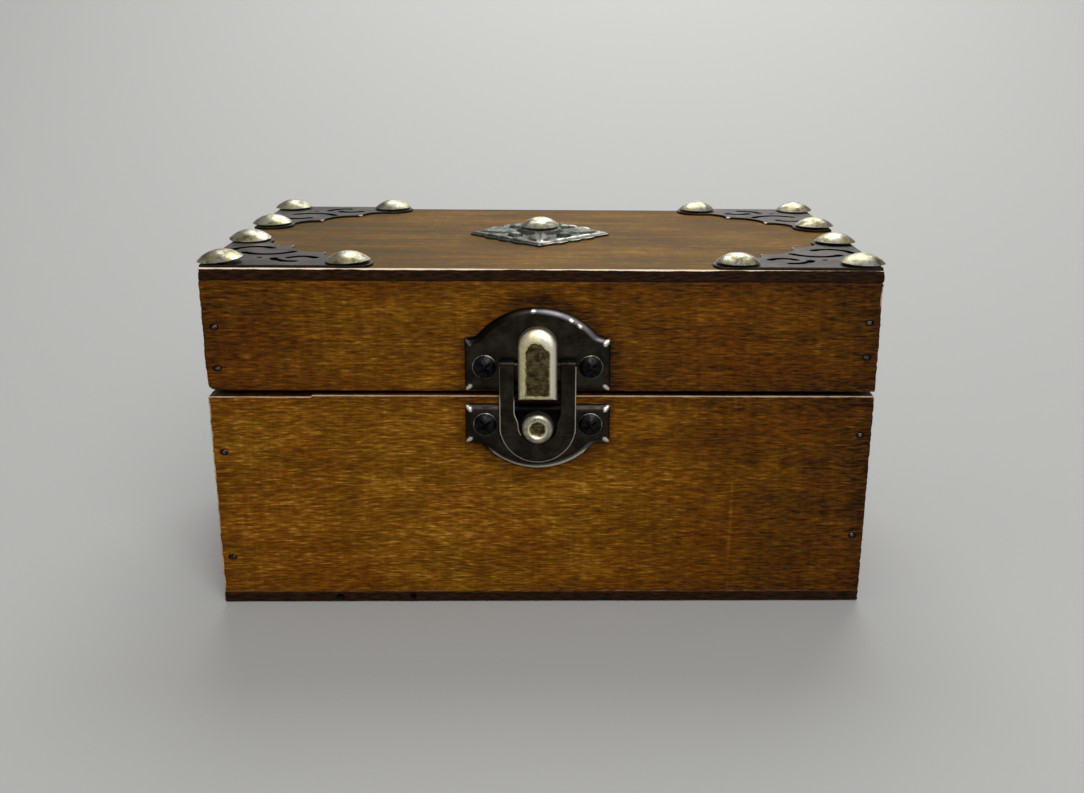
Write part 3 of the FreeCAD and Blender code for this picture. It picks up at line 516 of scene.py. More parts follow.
# Each board's grain axis, the shift of its pattern and the depth of its stain.
BOARD_WOODS = {"base_front": (0, (0.013, 0.02, 0.007), 0.37), "lid_front": (0, (0.31, 0.02, 0.05), 0.45),
               "base_back": (0, (0.63, 0.02, 0.01), 0.54), "lid_back": (0, (0.93, 0.02, 0.04), 0.58),
               "base_left": (1, (0.2, 0.33, 0.02), 0.54), "base_right": (1, (0.4, 0.66, 0.03), 0.62),
               "lid_left": (1, (0.6, 0.99, 0.05), 0.58), "lid_right": (1, (0.8, 1.32, 0.06), 0.64)}
# The rub of an edge that only the years have touched.
PLAIN_RUB = 0.36

woods = {}
for label, (axis, shift, depth) in BOARD_WOODS.items():
    woods[label] = stained_wood("wood_" + label, axis, shift, depth, LEANS.get(label, ()), STREAKS.get(label))


def base_rub(spot, low, high):
    """The lid rubbed the base's front rim, and the front board's left end shows specks of bare end grain."""
    at_front = spot[1] < front + 1.5 * MM
    if high[2] - spot[2] < 1.5 * MM:
        behind_lever = abs(spot[0] - latch_x) < 6.5 * MM
        return 1.0 if at_front and not behind_lever else PLAIN_RUB
    if not at_front:
        return 0.3
    if spot[2] - low[2] < 1.0 * MM:
        return 0.74
    return 2.4 * lumpy(spot, 1.6 * MM) if spot[0] < low[0] + 1.0 * MM else PLAIN_RUB


def lid_rub(spot, low, high):
    """The lid's right end is knocked bare at the front, a little below its top."""
    at_corner = spot[0] > high[0] - 1.5 * MM and spot[1] < front + 1.5 * MM
    return 1.2 if at_corner and 0.8 * MM < high[2] - spot[2] < 5 * MM else PLAIN_RUB


def front_stain_and_shade(spot):
    """Darker in an oval round the latch, painted shade on the base's rim under the lid, and most behind the
    lever.
    """
    if spot[1] > front + 0.4 * MM:
        # Painted shade on the base's rim, which lies under the lid.
        return 0.55 if abs(spot[2] - base_top) < 0.1 * MM else 0.0
    across = spot[0] - latch_x
    # Painted shade behind the lever, between its foot and the keeper.
    if abs(spot[2] - base_top) < 3.4 * MM and abs(across) < 8.4 * MM:
        return 2.0 * float(falloff(abs(across), 5.2 * MM, 8.4 * MM))
    # Darker in an oval round the latch.
    away = math.hypot(across / (17.6 * MM), (spot[2] - latch_z) / (20 * MM))
    return 0.5 * float(falloff(away, 1.0, 1.2))


lid_front_low, lid_front_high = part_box("lid_front_board")
lid_worn = [((lid_front_low.x, lid_front_low.y, lid_front_low.z), 7 * MM, 1.1 * MM),
            ((SEAM_STEP + 2.5 * MM, lid_front_low.y, lid_front_low.z), 4 * MM, 0.5 * MM),
            ((lid_front_high.x, lid_front_low.y, lid_front_high.z - 4 * MM), 6 * MM, 0.9 * MM)]
for part, rub_rule in (("base", base_rub), ("lid", lid_rub)):
    for side in ("front", "back", "left", "right"):
        node = f"{part}_{side}_board"
        knocks = lid_worn if node == "lid_front_board" else ()
        stain_and_shade_darkening = front_stain_and_shade if side == "front" else None
        dip = (SEAM_STEP, SEAM_DIP) if node == "base_front_board" else None
        pits = []
        if side in ("front", "back"):
            for low, high in solid_boxes(f"{part}_{side}_brads"):
                pits.append(((low.x + high.x) / 2, (low.z + high.z) / 2, *BRAD_PIT))
        mesh = worn_board(node, [woods[f"{part}_{side}"]], rub_rule, knocks, pits, stain_and_shade_darkening, dip)
        new_piece(f"{part}_{side}_wood", mesh, part, [node])
        print(node, len(mesh.polygons), "faces")

# %% [markdown]
# ## Plywood top and bottom
# The top and bottom are thin plywood. Their faces take the stain like the boards, but the cut edges drink it
# and turn almost black, with the layers just showing. The front edge of the lid is rubbed to bare wood,
# painted pale enough to carry a highlight, and the bottom's edge has two small voids where a layer was torn,
# with painted shade inside them.

# %% Plywood
PLY_VOIDS = ((-47.9 * MM, 0.9 * MM), (-30.7 * MM, 0.6 * MM))
VOID_Z = 1.2 * MM
VOID_HALF_HEIGHT = 0.75 * MM
VOID_DEPTH = 1.0 * MM
PLY_DARK = (0.0060, 0.0024, 0.0010)
PLY_LAYER = (0.032, 0.012, 0.0038)
PLY_VOID_SHADE = (0.002, 0.001, 0.001)


def ply_edge(name):
    """The sawn edge of stained plywood: three layers, small tears, nearly black."""
    material, tree, surface = finish_of(name)
    place = shifted_place(tree, (0.5, 0.2, 0.0))
    fibres = stretched_noise(tree, place, (3 * MM, 3 * MM, 0.4 * MM), 3.0, 0.6)
    tears = stretched_noise(tree, place, (1.2 * MM, 1.2 * MM, 0.7 * MM), 3.0, 0.6)
    dark = blend_colour(tree, spread(tree, fibres, 0.35, 0.7), PLY_DARK, PLY_LAYER)
    # Painted shade inside the voids.
    dark = blend_colour(tree, attribute(tree, "stain_and_shade"), dark, PLY_VOID_SHADE)
    colour = blend_colour(tree, bare_share(tree, place, 0.55, 0.8), dark, BARE_WOOD_AND_HIGHLIGHT)
    tree.links.new(colour, surface.inputs["Base Color"])
    surface.inputs["Roughness"].default_value = 0.62
    surface.inputs["Specular IOR Level"].default_value = 0.06
    raise_bump(tree, surface, total(tree, fibres, tears), 0.12 * MM)
    return material


def lid_top_rub(spot, low, high):
    """The front edge is rubbed along its length, less to the right, the other edges only here and there."""
    top = high[2] - spot[2] < 1.2 * MM
    if top and spot[1] < low[1] + 1.5 * MM:
        left_part = float(falloff(spot[0], 34 * MM, 42 * MM))
        return (0.55 + 1.2 * lumpy(spot, 7 * MM)) * (0.62 + 0.38 * left_part)
    return 0.9 * lumpy(spot, 9 * MM) if top else 0.2


def bottom_rub(spot, low, high):
    """The bottom is hardly rubbed anywhere."""
    return 0.25


sawn_edge = ply_edge("ply_edge")
# The lid top's pale sheen is painted into its colour, and its own gloss is nearly nil.
top_face = stained_wood("wood_lid_top", 0, (0.17, 0.41, 0.0), 0.42, [(-0.06, -0.01, 0.16, 0.0)], gloss=0.015,
                        sheen_film=0.28, bare=BARE_WOOD_AND_HIGHLIGHT, banding=0.95)
bottom_face = stained_wood("wood_bottom", 0, (0.57, 0.81, 0.0), 0.55)
voids = [(x, VOID_Z, half, VOID_HALF_HEIGHT, VOID_DEPTH) for x, half in PLY_VOIDS]
for node, body, face_wood, rub_rule, pits in (("lid_top_board", "lid", top_face, lid_top_rub, ()),
                                              ("bottom_board", "base", bottom_face, bottom_rub, voids)):
    mesh = worn_board(node, [face_wood, sawn_edge], rub_rule, pits=pits, ply=True)
    new_piece(node.replace("_board", "_ply"), mesh, body, [node])
    print(node, len(mesh.polygons), "faces")

# %% [markdown]
# ## Metal finishes
# The fittings are thin stamped sheet in an antique finish: plated, blackened, and rubbed bright where hands
# and polishing reach. Each metal mixes a bright and a tarnished colour by noise. The value that a mesh
# carries runs from -1, painted shade in a hollow or behind another part, through 0.3, a worn bevel with a
# painted reflection on it, to 1, bare metal, which also stands in for painted highlights.

# %% Aged metal
# Nearly black: the painted shade of slots, hollows and places behind other parts.
PAINTED_SHADE = (0.003, 0.0025, 0.0025)


def aged_metal(name, bright, tarnish, spots, rough, bevel_and_reflection=None, bare=None, second=None, patina=0.5, dent=0.02,
               lines=None):
    """A metal finish. spots is the size of its patches, rough its least and most roughness,
    the bevel colour is worn metal under a painted reflection, bare the colour of bare metal on worn edges
    and painted highlights, second another bright colour in patches of its own,
    patina the share of tarnish, dent the depth of its unevenness in mm, and lines the size of brush marks."""
    material, tree, surface = finish_of(name)
    place = shifted_place(tree, (0.07, 0.03, 0.011))
    patches = stretched_noise(tree, place, [spots] * 3, 4.0, 0.62)
    fine = stretched_noise(tree, place, [0.35 * MM] * 3, 2.0)
    worn_and_lit = attribute(tree, "wear_and_light")
    if second:
        other = stretched_noise(tree, shifted_place(tree, (0.31, 0.17, 0.05)), [1.3 * spots] * 3, 2.0)
        bright = blend_colour(tree, spread(tree, other, 0.44, 0.58), bright, second)
    share = spread(tree, total(tree, patches, swing(tree, fine, 0.25)), patina - 0.18, patina + 0.18)
    colour = blend_colour(tree, share, tarnish, bright)
    height = total(tree, patches, calc(tree, "MULTIPLY", fine, 0.25))
    if lines:
        brushed = stretched_noise(tree, place, lines, 3.0, 0.7)
        specks = stretched_noise(tree, place, [0.8 * MM] * 3, 3.0, 0.7)
        worn_and_lit = total(tree, worn_and_lit, swing(tree, specks, 0.7))
        colour = blend_colour(tree, spread(tree, brushed, 0.38, 0.68, 0.0, 0.75), colour, tarnish)
        height = total(tree, height, calc(tree, "MULTIPLY", brushed, 0.6))
    # The bevel colour is worn metal with a painted reflection on it.
    if bevel_and_reflection:
        colour = blend_colour(tree, spread(tree, worn_and_lit, 0.1, 0.34), colour, bevel_and_reflection)
    # Bare metal on worn edges, and also where a highlight is painted.
    if bare:
        edge = spread(tree, total(tree, worn_and_lit, swing(tree, patches, 0.7)), 0.5, 0.85)
        colour = blend_colour(tree, edge, colour, bare)
    # Painted shade: below zero the colour goes over to nearly black.
    colour = blend_colour(tree, spread(tree, worn_and_lit, -0.8, -0.1, 1.0, 0.0), colour, PAINTED_SHADE)
    tree.links.new(colour, surface.inputs["Base Color"])
    surface.inputs["Metallic"].default_value = 1.0
    tree.links.new(spread(tree, patches, 0.3, 0.7, rough[1], rough[0]), surface.inputs["Roughness"])
    raise_bump(tree, surface, height, dent * MM, 0.7)
    return material


nail_brass = aged_metal("nail_brass", (0.53, 0.515, 0.435), (0.12, 0.108, 0.062), 2.4 * MM, (0.32, 0.48),
                        second=(0.53, 0.475, 0.265), patina=0.47, dent=0.10)
lever_brass = aged_metal("lever_brass", (0.17, 0.138, 0.066), (0.028, 0.021, 0.009), 1.5 * MM, (0.30, 0.46),
                         (0.60, 0.53, 0.27), (0.78, 0.74, 0.60), dent=0.03,
                         lines=(5 * MM, 5 * MM, 0.22 * MM))
post_brass = aged_metal("post_brass", (0.47, 0.445, 0.36), (0.21, 0.19, 0.135), 1.2 * MM, (0.34, 0.5),
                        None, (0.80, 0.74, 0.50), patina=0.48, dent=0.05)
# The grey bevel colour of the black plates is a painted reflection on their rounded edges.
latch_black = aged_metal("latch_black", (0.035, 0.029, 0.022), (0.015, 0.012, 0.009), 3.4 * MM, (0.30, 0.44),
                         (0.12, 0.113, 0.12), (0.74, 0.70, 0.60), patina=0.52, dent=0.012)
screw_black = aged_metal("screw_black", (0.022, 0.021, 0.021), (0.006, 0.006, 0.006), 1.4 * MM, (0.32, 0.48),
                         None, (0.36, 0.35, 0.34))
corner_bronze = aged_metal("corner_bronze", (0.038, 0.030, 0.025), (0.022, 0.017, 0.014), 6.0 * MM,
                           (0.40, 0.50), None, (0.50, 0.45, 0.36), dent=0.008)
ornament_bronze = aged_metal("ornament_bronze", (0.105, 0.110, 0.090), (0.045, 0.049, 0.039), 3.0 * MM,
                             (0.38, 0.52), None, (0.44, 0.43, 0.37), dent=0.03)
hinge_bronze = aged_metal("hinge_bronze", (0.24, 0.17, 0.09), (0.07, 0.048, 0.028), 2.6 * MM, (0.30, 0.48),
                          None, (0.52, 0.42, 0.26), dent=0.03)
pin_steel = aged_metal("pin_steel", (0.42, 0.39, 0.34), (0.13, 0.11, 0.09), 1.5 * MM, (0.28, 0.45))
brad_steel = aged_metal("brad_steel", (0.15, 0.135, 0.115), (0.022, 0.018, 0.014), 0.7 * MM, (0.32, 0.52),
                        dent=0.05)
METAL_ENDINGS = ("brass", "black", "bronze", "steel")
print("metals", [metal.name for metal in bpy.data.materials if metal.name.endswith(METAL_ENDINGS)])

# %% [markdown]
# ## Nails, brads and screws
# Every fixing is one turned shape that repeats, so Geometry Nodes does the repeating.
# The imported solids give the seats. One tree puts a copy of the fixing on each seat, faces it outward,
# spins and tilts it a little by a fixed seed, makes the copies real and dents them by noise,
# so that no two nails are quite alike.

# %% Mesh helpers


def mesh_of(shape, name):
    """The plain mesh of a finished bmesh, its faces pointing outward."""
    bmesh.ops.recalc_face_normals(shape, faces=shape.faces)
    mesh = bpy.data.meshes.new(name)
    shape.to_mesh(mesh)
    shape.free()
    return mesh


def smoothed(mesh, sharp):
    """A mesh shaded smooth, apart from edges that turn by more than an angle in degrees."""
    mesh.shade_smooth()
    mesh.set_sharp_from_angle(angle=math.radians(sharp))
    return mesh


def bridge(shape, rings):
    """Quads between rings of equal length, each joined to the next."""
    for lower, upper in zip(rings, rings[1:]):
        for k in range(len(lower)):
            after = (k + 1) % len(lower)
            shape.faces.new((lower[k], lower[after], upper[after], upper[k]))


# %% Turned shapes


def turned(name, profile, segments=40, wear_and_light_values=None):
    """A mesh turned about Z from (radius, height) pairs in mm, closed where the radius is zero."""
    shape = bmesh.new()
    wear_and_light = shape.verts.layers.float.new("wear_and_light")
    rings = []
    for row, (radius, height) in enumerate(profile):
        ring = []
        for k in range(1 if radius == 0 else segments):
            angle = 2 * math.pi * k / segments
            x, y = radius * math.cos(angle), radius * math.sin(angle)
            vert = shape.verts.new((x * MM, y * MM, height * MM))
            vert[wear_and_light] = wear_and_light_values[row] if wear_and_light_values else 0.0
            ring.append(vert)
        rings.append(ring)
    for lower, upper in zip(rings, rings[1:]):
        for k in range(segments):
            corners = [lower[k % len(lower)], lower[(k + 1) % len(lower)],
                       upper[(k + 1) % len(upper)], upper[k % len(upper)]]
            shape.faces.new(list(dict.fromkeys(corners)))
    bmesh.ops.remove_doubles(shape, verts=shape.verts, dist=1e-7)
    return mesh_of(shape, name)


def dome(radius, low, rise, rings):
    """Points of a low dome from its rim up to its middle."""
    ball = (radius ** 2 + rise ** 2) / (2 * rise)
    points = []
    for k in range(rings + 1):
        r = radius * (1 - k / rings)
        points.append((r, low + rise - ball + math.sqrt(ball ** 2 - r ** 2)))
    return points


def tube_profile(inner, outer, reach, chamfer):
    """The closed profile of a tube whose outer edges are broken."""
    return [(inner, -reach), (outer - chamfer, -reach), (outer, chamfer - reach), (outer, reach - chamfer),
            (outer - chamfer, reach), (inner, reach), (inner, -reach)]


# %% Geometry Nodes tree for fixings


def fixing_tree():
    """Copies of a fixing on points that carry a facing, each spun, tilted and dented by a fixed seed."""
    tree = bpy.data.node_groups.new("fixings", "GeometryNodeTree")
    sockets = {}
    for label, kind in (("Seats", "Geometry"), ("Fixing", "Object"), ("Tilt", "Float"), ("Spin", "Float"),
                        ("Dent", "Float"), ("Dent size", "Float"), ("Seed", "Int"), ("Finish", "Material")):
        sockets[label] = tree.interface.new_socket(label, in_out="INPUT", socket_type="NodeSocket" + kind)
    tree.interface.new_socket("Fixings", in_out="OUTPUT", socket_type="NodeSocketGeometry")
    given = add(tree, "NodeGroupInput").outputs
    one = add(tree, "GeometryNodeObjectInfo", {"Object": given["Fixing"]}).outputs["Geometry"]
    facing = add(tree, "GeometryNodeInputNamedAttribute", {"Name": "facing"}, data_type="FLOAT_VECTOR")
    aligned = add(tree, "FunctionNodeAlignRotationToVector", {"Vector": socket(facing.outputs, "Attribute")},
                  axis="Z").outputs[0]
    reach = {"X": given["Tilt"], "Y": given["Tilt"], "Z": given["Spin"]}
    most = add(tree, "ShaderNodeCombineXYZ", reach).outputs[0]
    least = vector_calc(tree, "MULTIPLY", most, (-1, -1, -1))
    chance = add(tree, "FunctionNodeRandomValue", {"Min": least, "Max": most, "Seed": given["Seed"]},
                 data_type="FLOAT_VECTOR")
    turn = add(tree, "FunctionNodeEulerToRotation", {0: socket(chance.outputs, "Value")}).outputs[0]
    rotation = add(tree, "FunctionNodeRotateRotation", {"Rotation": aligned, "Rotate By": turn},
                   rotation_space="LOCAL").outputs[0]
    copies = add(tree, "GeometryNodeInstanceOnPoints", {"Points": given["Seats"], "Instance": one,
                                                        "Rotation": rotation}).outputs[0]
    real = add(tree, "GeometryNodeRealizeInstances", {"Geometry": copies}).outputs[0]
    lumps = vector_calc(tree, "DIVIDE", add(tree, "GeometryNodeInputPosition").outputs[0], given["Dent size"])
    wave = add(tree, "ShaderNodeTexNoise", {"Vector": lumps, "Scale": 1.0, "Detail": 1.0}).outputs["Fac"]
    depth = calc(tree, "MULTIPLY", calc(tree, "SUBTRACT", wave, 0.75), given["Dent"])
    outward = add(tree, "GeometryNodeInputNormal").outputs[0]
    push = add(tree, "ShaderNodeVectorMath", {0: outward, "Scale": depth}, operation="SCALE").outputs[0]
    dented = add(tree, "GeometryNodeSetPosition", {"Geometry": real, "Offset": push}).outputs[0]
    smooth = add(tree, "GeometryNodeSetShadeSmooth", {"Geometry": dented, "Shade Smooth": True}).outputs[0]
    finish = {"Geometry": smooth, "Material": given["Finish"]}
    painted = add(tree, "GeometryNodeSetMaterial", finish).outputs[0]
    add(tree, "NodeGroupOutput", {"Fixings": painted})
    return tree, {label: made.identifier for label, made in sockets.items()}


fixings_tree, fixing_inputs = fixing_tree()


def set_out(name, shape, seats, finish, tilt=0.0, spin=math.pi, dent=0.0, dent_size=1.0, seed=1):
    """A mesh of one fixing on every seat. A seat is a point and the direction that its head faces."""
    pattern = bpy.data.objects.new(name + "_pattern", shape)
    cloud = bpy.data.meshes.new(name + "_seats")
    cloud.from_pydata([list(point) for point, way in seats], [], [])
    facing = cloud.attributes.new("facing", "FLOAT_VECTOR", "POINT")
    facing.data.foreach_set("vector", [value for point, way in seats for value in way])
    holder = bpy.data.objects.new(name + "_seats", cloud)
    scene.collection.objects.link(holder)
    modifier = holder.modifiers.new("fixings", "NODES")
    modifier.node_group = fixings_tree
    values = {"Fixing": pattern, "Tilt": tilt, "Spin": spin, "Dent": dent * MM, "Dent size": dent_size * MM,
              "Seed": seed, "Finish": finish}
    for label, value in values.items():
        modifier[fixing_inputs[label]] = value
    depsgraph = bpy.context.evaluated_depsgraph_get()
    mesh = bpy.data.meshes.new_from_object(holder.evaluated_get(depsgraph))
    mesh.name = name
    bpy.data.objects.remove(holder)
    bpy.data.objects.remove(pattern)
    mesh.set_sharp_from_angle(angle=math.radians(40))
    print(name, len(seats), "copies", len(mesh.polygons), "faces")
    return mesh


def middle_of(low, high):
    return (low + high) / 2


def seats_of(node, way, plane=None):
    """The seats of a node's fixings, whose heads all face one way along Y: the middle of each solid,
    moved to a plane across Y, or to the solid's own end where no plane is given."""
    seats = []
    for low, high in solid_boxes(node):
        seat = middle_of(low, high)
        end = low.y if way.y < 0 else high.y
        seat.y = end if plane is None else plane
        seats.append((seat, way))
    return seats


# %% [markdown]
# ## Dome nails
# Thirteen dome nails hold the corner plates and the diamond. Each cap is stamped from sheet,
# so its rim stands a little clear of the plate and throws a dark line below it, deepened by painted shade
# on the rim's underside.
# The nail at the front left corner was driven askew.

# %% Dome nails
NAIL_RADIUS = 5.0
NAIL_HEIGHT = 2.6
NAIL_RIM = 0.56
SHANK_RADIUS = 0.9
SHANK_LENGTH = 2.2
ASKEW = Vector((-0.10, -0.01, 1)).normalized()
ASKEW_LIFT = 0.2 * MM

nail_profile = [(0, -SHANK_LENGTH), (SHANK_RADIUS * 0.7, -SHANK_LENGTH + 0.5), (SHANK_RADIUS, -1.2),
                (SHANK_RADIUS, 1.2), (3.4, 0.85), (4.3, 0.52), (4.78, 0.34), (4.93, 0.36),
                (NAIL_RADIUS, 0.45)]
nail_profile += dome(NAIL_RADIUS, NAIL_RIM, NAIL_HEIGHT - NAIL_RIM, 12)
# The rim's underside carries painted shade, a value of -1.
nail_wear_and_shade = [0, 0, 0, -1, -1, -1, -0.6, 0, 0] + [0] * 13
corners = ("front_left", "front_right", "back_left", "back_right")
UP = Vector((0, 0, 1))
lid_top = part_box("lid_top_board")[1].z
plate_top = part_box("corner_plate_front_left")[1].z
nail_nodes = ["corner_nails_" + where for where in corners] + ["ornament_nail"]
nail_seats = []
for node in nail_nodes:
    for low, high in solid_boxes(node):
        middle = middle_of(low, high)
        nail_seats.append((Vector((middle.x, middle.y, high.z - NAIL_HEIGHT * MM)), UP))
askew = min(range(len(nail_seats)), key=lambda k: nail_seats[k][0].x + nail_seats[k][0].y)
nail_seats[askew] = (nail_seats[askew][0] + UP * ASKEW_LIFT, ASKEW)
mesh = set_out("dome_nails", turned("dome_nail", nail_profile, 48, nail_wear_and_shade), nail_seats, nail_brass,
               tilt=0.035, dent=0.22, dent_size=2.3, seed=7)
new_piece("dome_nails", mesh, "lid", nail_nodes)

# %% [markdown]
# ## Brads
# Two brads near each end hold the front and back boards. Their small heads were cut from wire, so they are
# wider than they are high, and they sit below the surface in ragged oval dents.

# %% Brads
BRAD_RADIUS = 0.66
BRAD_FLATTEN = 0.76
FORWARD = Vector((0, -1, 0))
BACKWARD = Vector((0, 1, 0))

brad_profile = [(0, -3.0), (0.45, -2.4), (0.45, -0.5), (BRAD_RADIUS, -0.42), (BRAD_RADIUS, -0.2),
                (BRAD_RADIUS - 0.16, -0.07), (0.3, -0.05), (0.16, -0.1), (0, -0.12)]
brad_shape = turned("brad", brad_profile, 20)
brad_shape.transform(Matrix.Diagonal((1, BRAD_FLATTEN, 1, 1)))
for part in ("base", "lid"):
    for side, way in (("front", FORWARD), ("back", BACKWARD)):
        node = f"{part}_{side}_brads"
        mesh = set_out(node, brad_shape, seats_of(node, way), brad_steel, tilt=0.12, spin=0.35, dent=0.06,
                       dent_size=0.8, seed=3)
        new_piece(f"{part}_{side}_brad_heads", mesh, part, [node])

# %% [markdown]
# ## Plates with a rounded edge
# The corner plates, the latch plates, the bail and the hinge leaves are all cut from sheet: an outline,
# openings, and an edge that was rounded or bevelled by the press.
# Each closed outline is drawn as a ring, and the ring is drawn in step by step along the edge's profile.
# The flat faces are then filled between the innermost rings, openings and all.

# %% Plate helpers
SHARP_TURN = math.radians(35)
TOO_NEAR = 0.02


def arc_points(start, middle, end, count):
    """Points on the arc through three points, the last one left out."""
    (ax, ay), (bx, by), (cx, cy) = start, middle, end
    d = 2 * (ax * (by - cy) + bx * (cy - ay) + cx * (ay - by))
    a2, b2, c2 = ax * ax + ay * ay, bx * bx + by * by, cx * cx + cy * cy
    ux = (a2 * (by - cy) + b2 * (cy - ay) + c2 * (ay - by)) / d
    uy = (a2 * (cx - bx) + b2 * (ax - cx) + c2 * (bx - ax)) / d
    radius = math.hypot(ax - ux, ay - uy)
    first = math.atan2(ay - uy, ax - ux)
    mid = (math.atan2(by - uy, bx - ux) - first) % (2 * math.pi)
    sweep = (math.atan2(cy - uy, cx - ux) - first) % (2 * math.pi)
    if mid > sweep:
        sweep -= 2 * math.pi
    turns = [first + sweep * k / count for k in range(count)]
    return [(ux + radius * math.cos(turn), uy + radius * math.sin(turn)) for turn in turns]


def line_points(start, end, count):
    return [(start[0] + (end[0] - start[0]) * k / count, start[1] + (end[1] - start[1]) * k / count)
            for k in range(count)]


def into_plate(points):
    """For each point of a loop, the step into the plate that moves both its edges in by one unit."""
    loop = np.array(points)
    before = loop - np.roll(loop, 1, axis=0)
    after = np.roll(loop, -1, axis=0) - loop

    def left(run):
        run = run / np.linalg.norm(run, axis=1, keepdims=True)
        return np.stack([-run[:, 1], run[:, 0]], axis=1)

    step = left(before) + left(after)
    return step / np.maximum((step * left(before)).sum(axis=1, keepdims=True), 0.5)


def is_clockwise(points):
    loop = np.array(points)
    ahead_x, ahead_y = np.roll(loop, -1, axis=0).T
    return (loop[:, 0] * ahead_y - ahead_x * loop[:, 1]).sum() < 0


def corner_owners(points, inset):
    """For each point of a loop, the number of the point that it joins when the loop is drawn in:
    its own, or that of an outward corner so near that the two would cross."""
    count = len(points)
    turns = []
    for k in range(count):
        (ax, ay), (bx, by), (cx, cy) = points[k - 1], points[k], points[(k + 1) % count]
        turn = math.atan2(cy - by, cx - bx) - math.atan2(by - ay, bx - ax)
        turns.append((turn + math.pi) % (2 * math.pi) - math.pi)
    owners = list(range(count))
    for k in range(count):
        if turns[k] < SHARP_TURN:
            continue
        for way in (-1, 1):
            reach = inset * math.tan(turns[k] / 2)
            here = k
            while True:
                after = (here + way) % count
                reach -= math.dist(points[here], points[after])
                if reach < -TOO_NEAR or abs(turns[after]) > SHARP_TURN:
                    break
                owners[after] = k
                here = after
    return owners


def plate_mesh(name, outline, openings, profile, place):
    """A plate from an outline and openings in mm. profile is (inset, height, rub) from its back to its face.
    place turns a point of the drawing and a height into a point of the box. Openings carry painted shade
    inside."""
    shape = bmesh.new()
    wear_and_light = shape.verts.layers.float.new("wear_and_light")
    caps = ([], [])
    for number, points in enumerate([outline] + list(openings)):
        if is_clockwise(points) == (number == 0):
            points = points[::-1]
        step = into_plate(points)
        rings = []
        for inset, height, worn_and_lit in profile:
            owners = corner_owners(points, inset)
            own = {}
            for k in set(owners):
                own[k] = shape.verts.new(place(*(np.array(points[k]) + inset * step[k]), height))
                # The walls of openings take painted shade, a value of -1.
                own[k][wear_and_light] = -1.0 if number and height < profile[-1][1] else worn_and_lit
            rings.append([own[k] for k in owners])
        for lower, upper in zip(rings, rings[1:]):
            for k in range(len(points)):
                after = (k + 1) % len(points)
                face = list(dict.fromkeys((lower[k], lower[after], upper[after], upper[k])))
                if len(face) > 2:
                    shape.faces.new(face)
        for cap, ring in zip(caps, (rings[0], rings[-1])):
            cap += [shape.edges.get((a, b)) for a, b in zip(ring, ring[1:] + ring[:1]) if a != b]
    for cap in caps:
        bmesh.ops.triangle_fill(shape, use_beauty=True, edges=cap)
    return smoothed(mesh_of(shape, name), 35)


def pressed_edge(thickness, rounding, wear_and_light, steps=4):
    """A profile with a square back edge and a rounded front edge."""
    profile = [(0.03, 0.0, 0.0), (0.0, 0.05, 0.2 * wear_and_light), (0.0, thickness - rounding, wear_and_light)]
    for k in range(1, steps + 1):
        angle = math.pi / 2 * k / steps
        profile.append((rounding * (1 - math.cos(angle)), thickness - rounding * (1 - math.sin(angle)), wear_and_light))
    last_inset = profile[-1][0]
    return profile + [(last_inset + 0.06, thickness, 0.35 * wear_and_light), (last_inset + 0.2, thickness, 0.0)]


def painted_wear_and_light(mesh, rule, drawn):
    """Gives each point of a mesh its wear and painted light by a rule on its place in the drawing, in mm, and
    the value it has.
    """
    layer = mesh.attributes.get("wear_and_light") or mesh.attributes.new("wear_and_light", "FLOAT", "POINT")
    layer.data.foreach_set("value", [rule(*drawn(vert.co), now.value)
                                     for vert, now in zip(mesh.vertices, layer.data)])


def joined_mesh(name, meshes):
    """Several meshes as one, in the first one's finish."""
    shape = bmesh.new()
    for mesh in meshes:
        shape.from_mesh(mesh)
    whole = bpy.data.meshes.new(name)
    shape.to_mesh(whole)
    shape.free()
    for material in meshes[0].materials:
        whole.materials.append(material)
    return whole


# %% [markdown]
# ## Corner plates
# Four pierced plates cover the corners of the lid: a broad leaf with a scalloped inner edge, cut through with
# an arm, a hook, a crest and a curl. One drawing from the corner along X and Y serves all four, mirrored.
# A thin black sheet closes the slots from below: painted shade seen through them.

# %% Corner plates
PLATE_EDGE = 0.4
NAIL_IN = 4.1
NAIL_PITCH = 27.8
LOBE = 5.6
LOBE_LEAN = math.radians(110)
CUSP_FAR = 25.0
CUSP_NEAR = 16.0
WAIST = 18.4
HOLLOW = 1.2
SLOT_WIDTH = 1.8
# Each slot's centre along and across, its radius, and the directions of its two ends in degrees.
SLOTS = {"arm": (8.0, 17.8, 4.9, 42, 175), "hook": (11.6, 20.0, 6.8, 223, 330),
         "crest": (20.9, 7.2, 3.5, 35, 145), "curl": (19.4, 9.8, 4.9, 198, 276)}
DOT = (11.4, 9.3)
DOT_RADIUS = 0.6


def corner_outline():
    """The plate's outline in mm from the corner, alike about its diagonal."""
    tip = NAIL_IN + NAIL_PITCH
    foot = math.sqrt(LOBE ** 2 - (NAIL_IN - PLATE_EDGE) ** 2)
    lobe = [(tip + foot, PLATE_EDGE), (tip + LOBE, NAIL_IN),
            (tip + LOBE * math.cos(LOBE_LEAN), NAIL_IN + LOBE * math.sin(LOBE_LEAN))]
    cusp = (CUSP_FAR, CUSP_NEAR)
    hollow = ((lobe[2][0] + cusp[0]) / 2 - HOLLOW, (lobe[2][1] + cusp[1]) / 2 - HOLLOW)
    half = line_points((PLATE_EDGE, PLATE_EDGE), lobe[0], 12) + arc_points(*lobe, 14)
    half += arc_points(lobe[2], hollow, cusp, 10) + arc_points(cusp, (WAIST, WAIST), cusp[::-1], 24)
    back = arc_points(cusp[::-1], hollow[::-1], lobe[2][::-1], 10)
    back += arc_points(lobe[2][::-1], lobe[1][::-1], lobe[0][::-1], 14)
    return half + back + line_points(lobe[0][::-1], (PLATE_EDGE, PLATE_EDGE), 12)


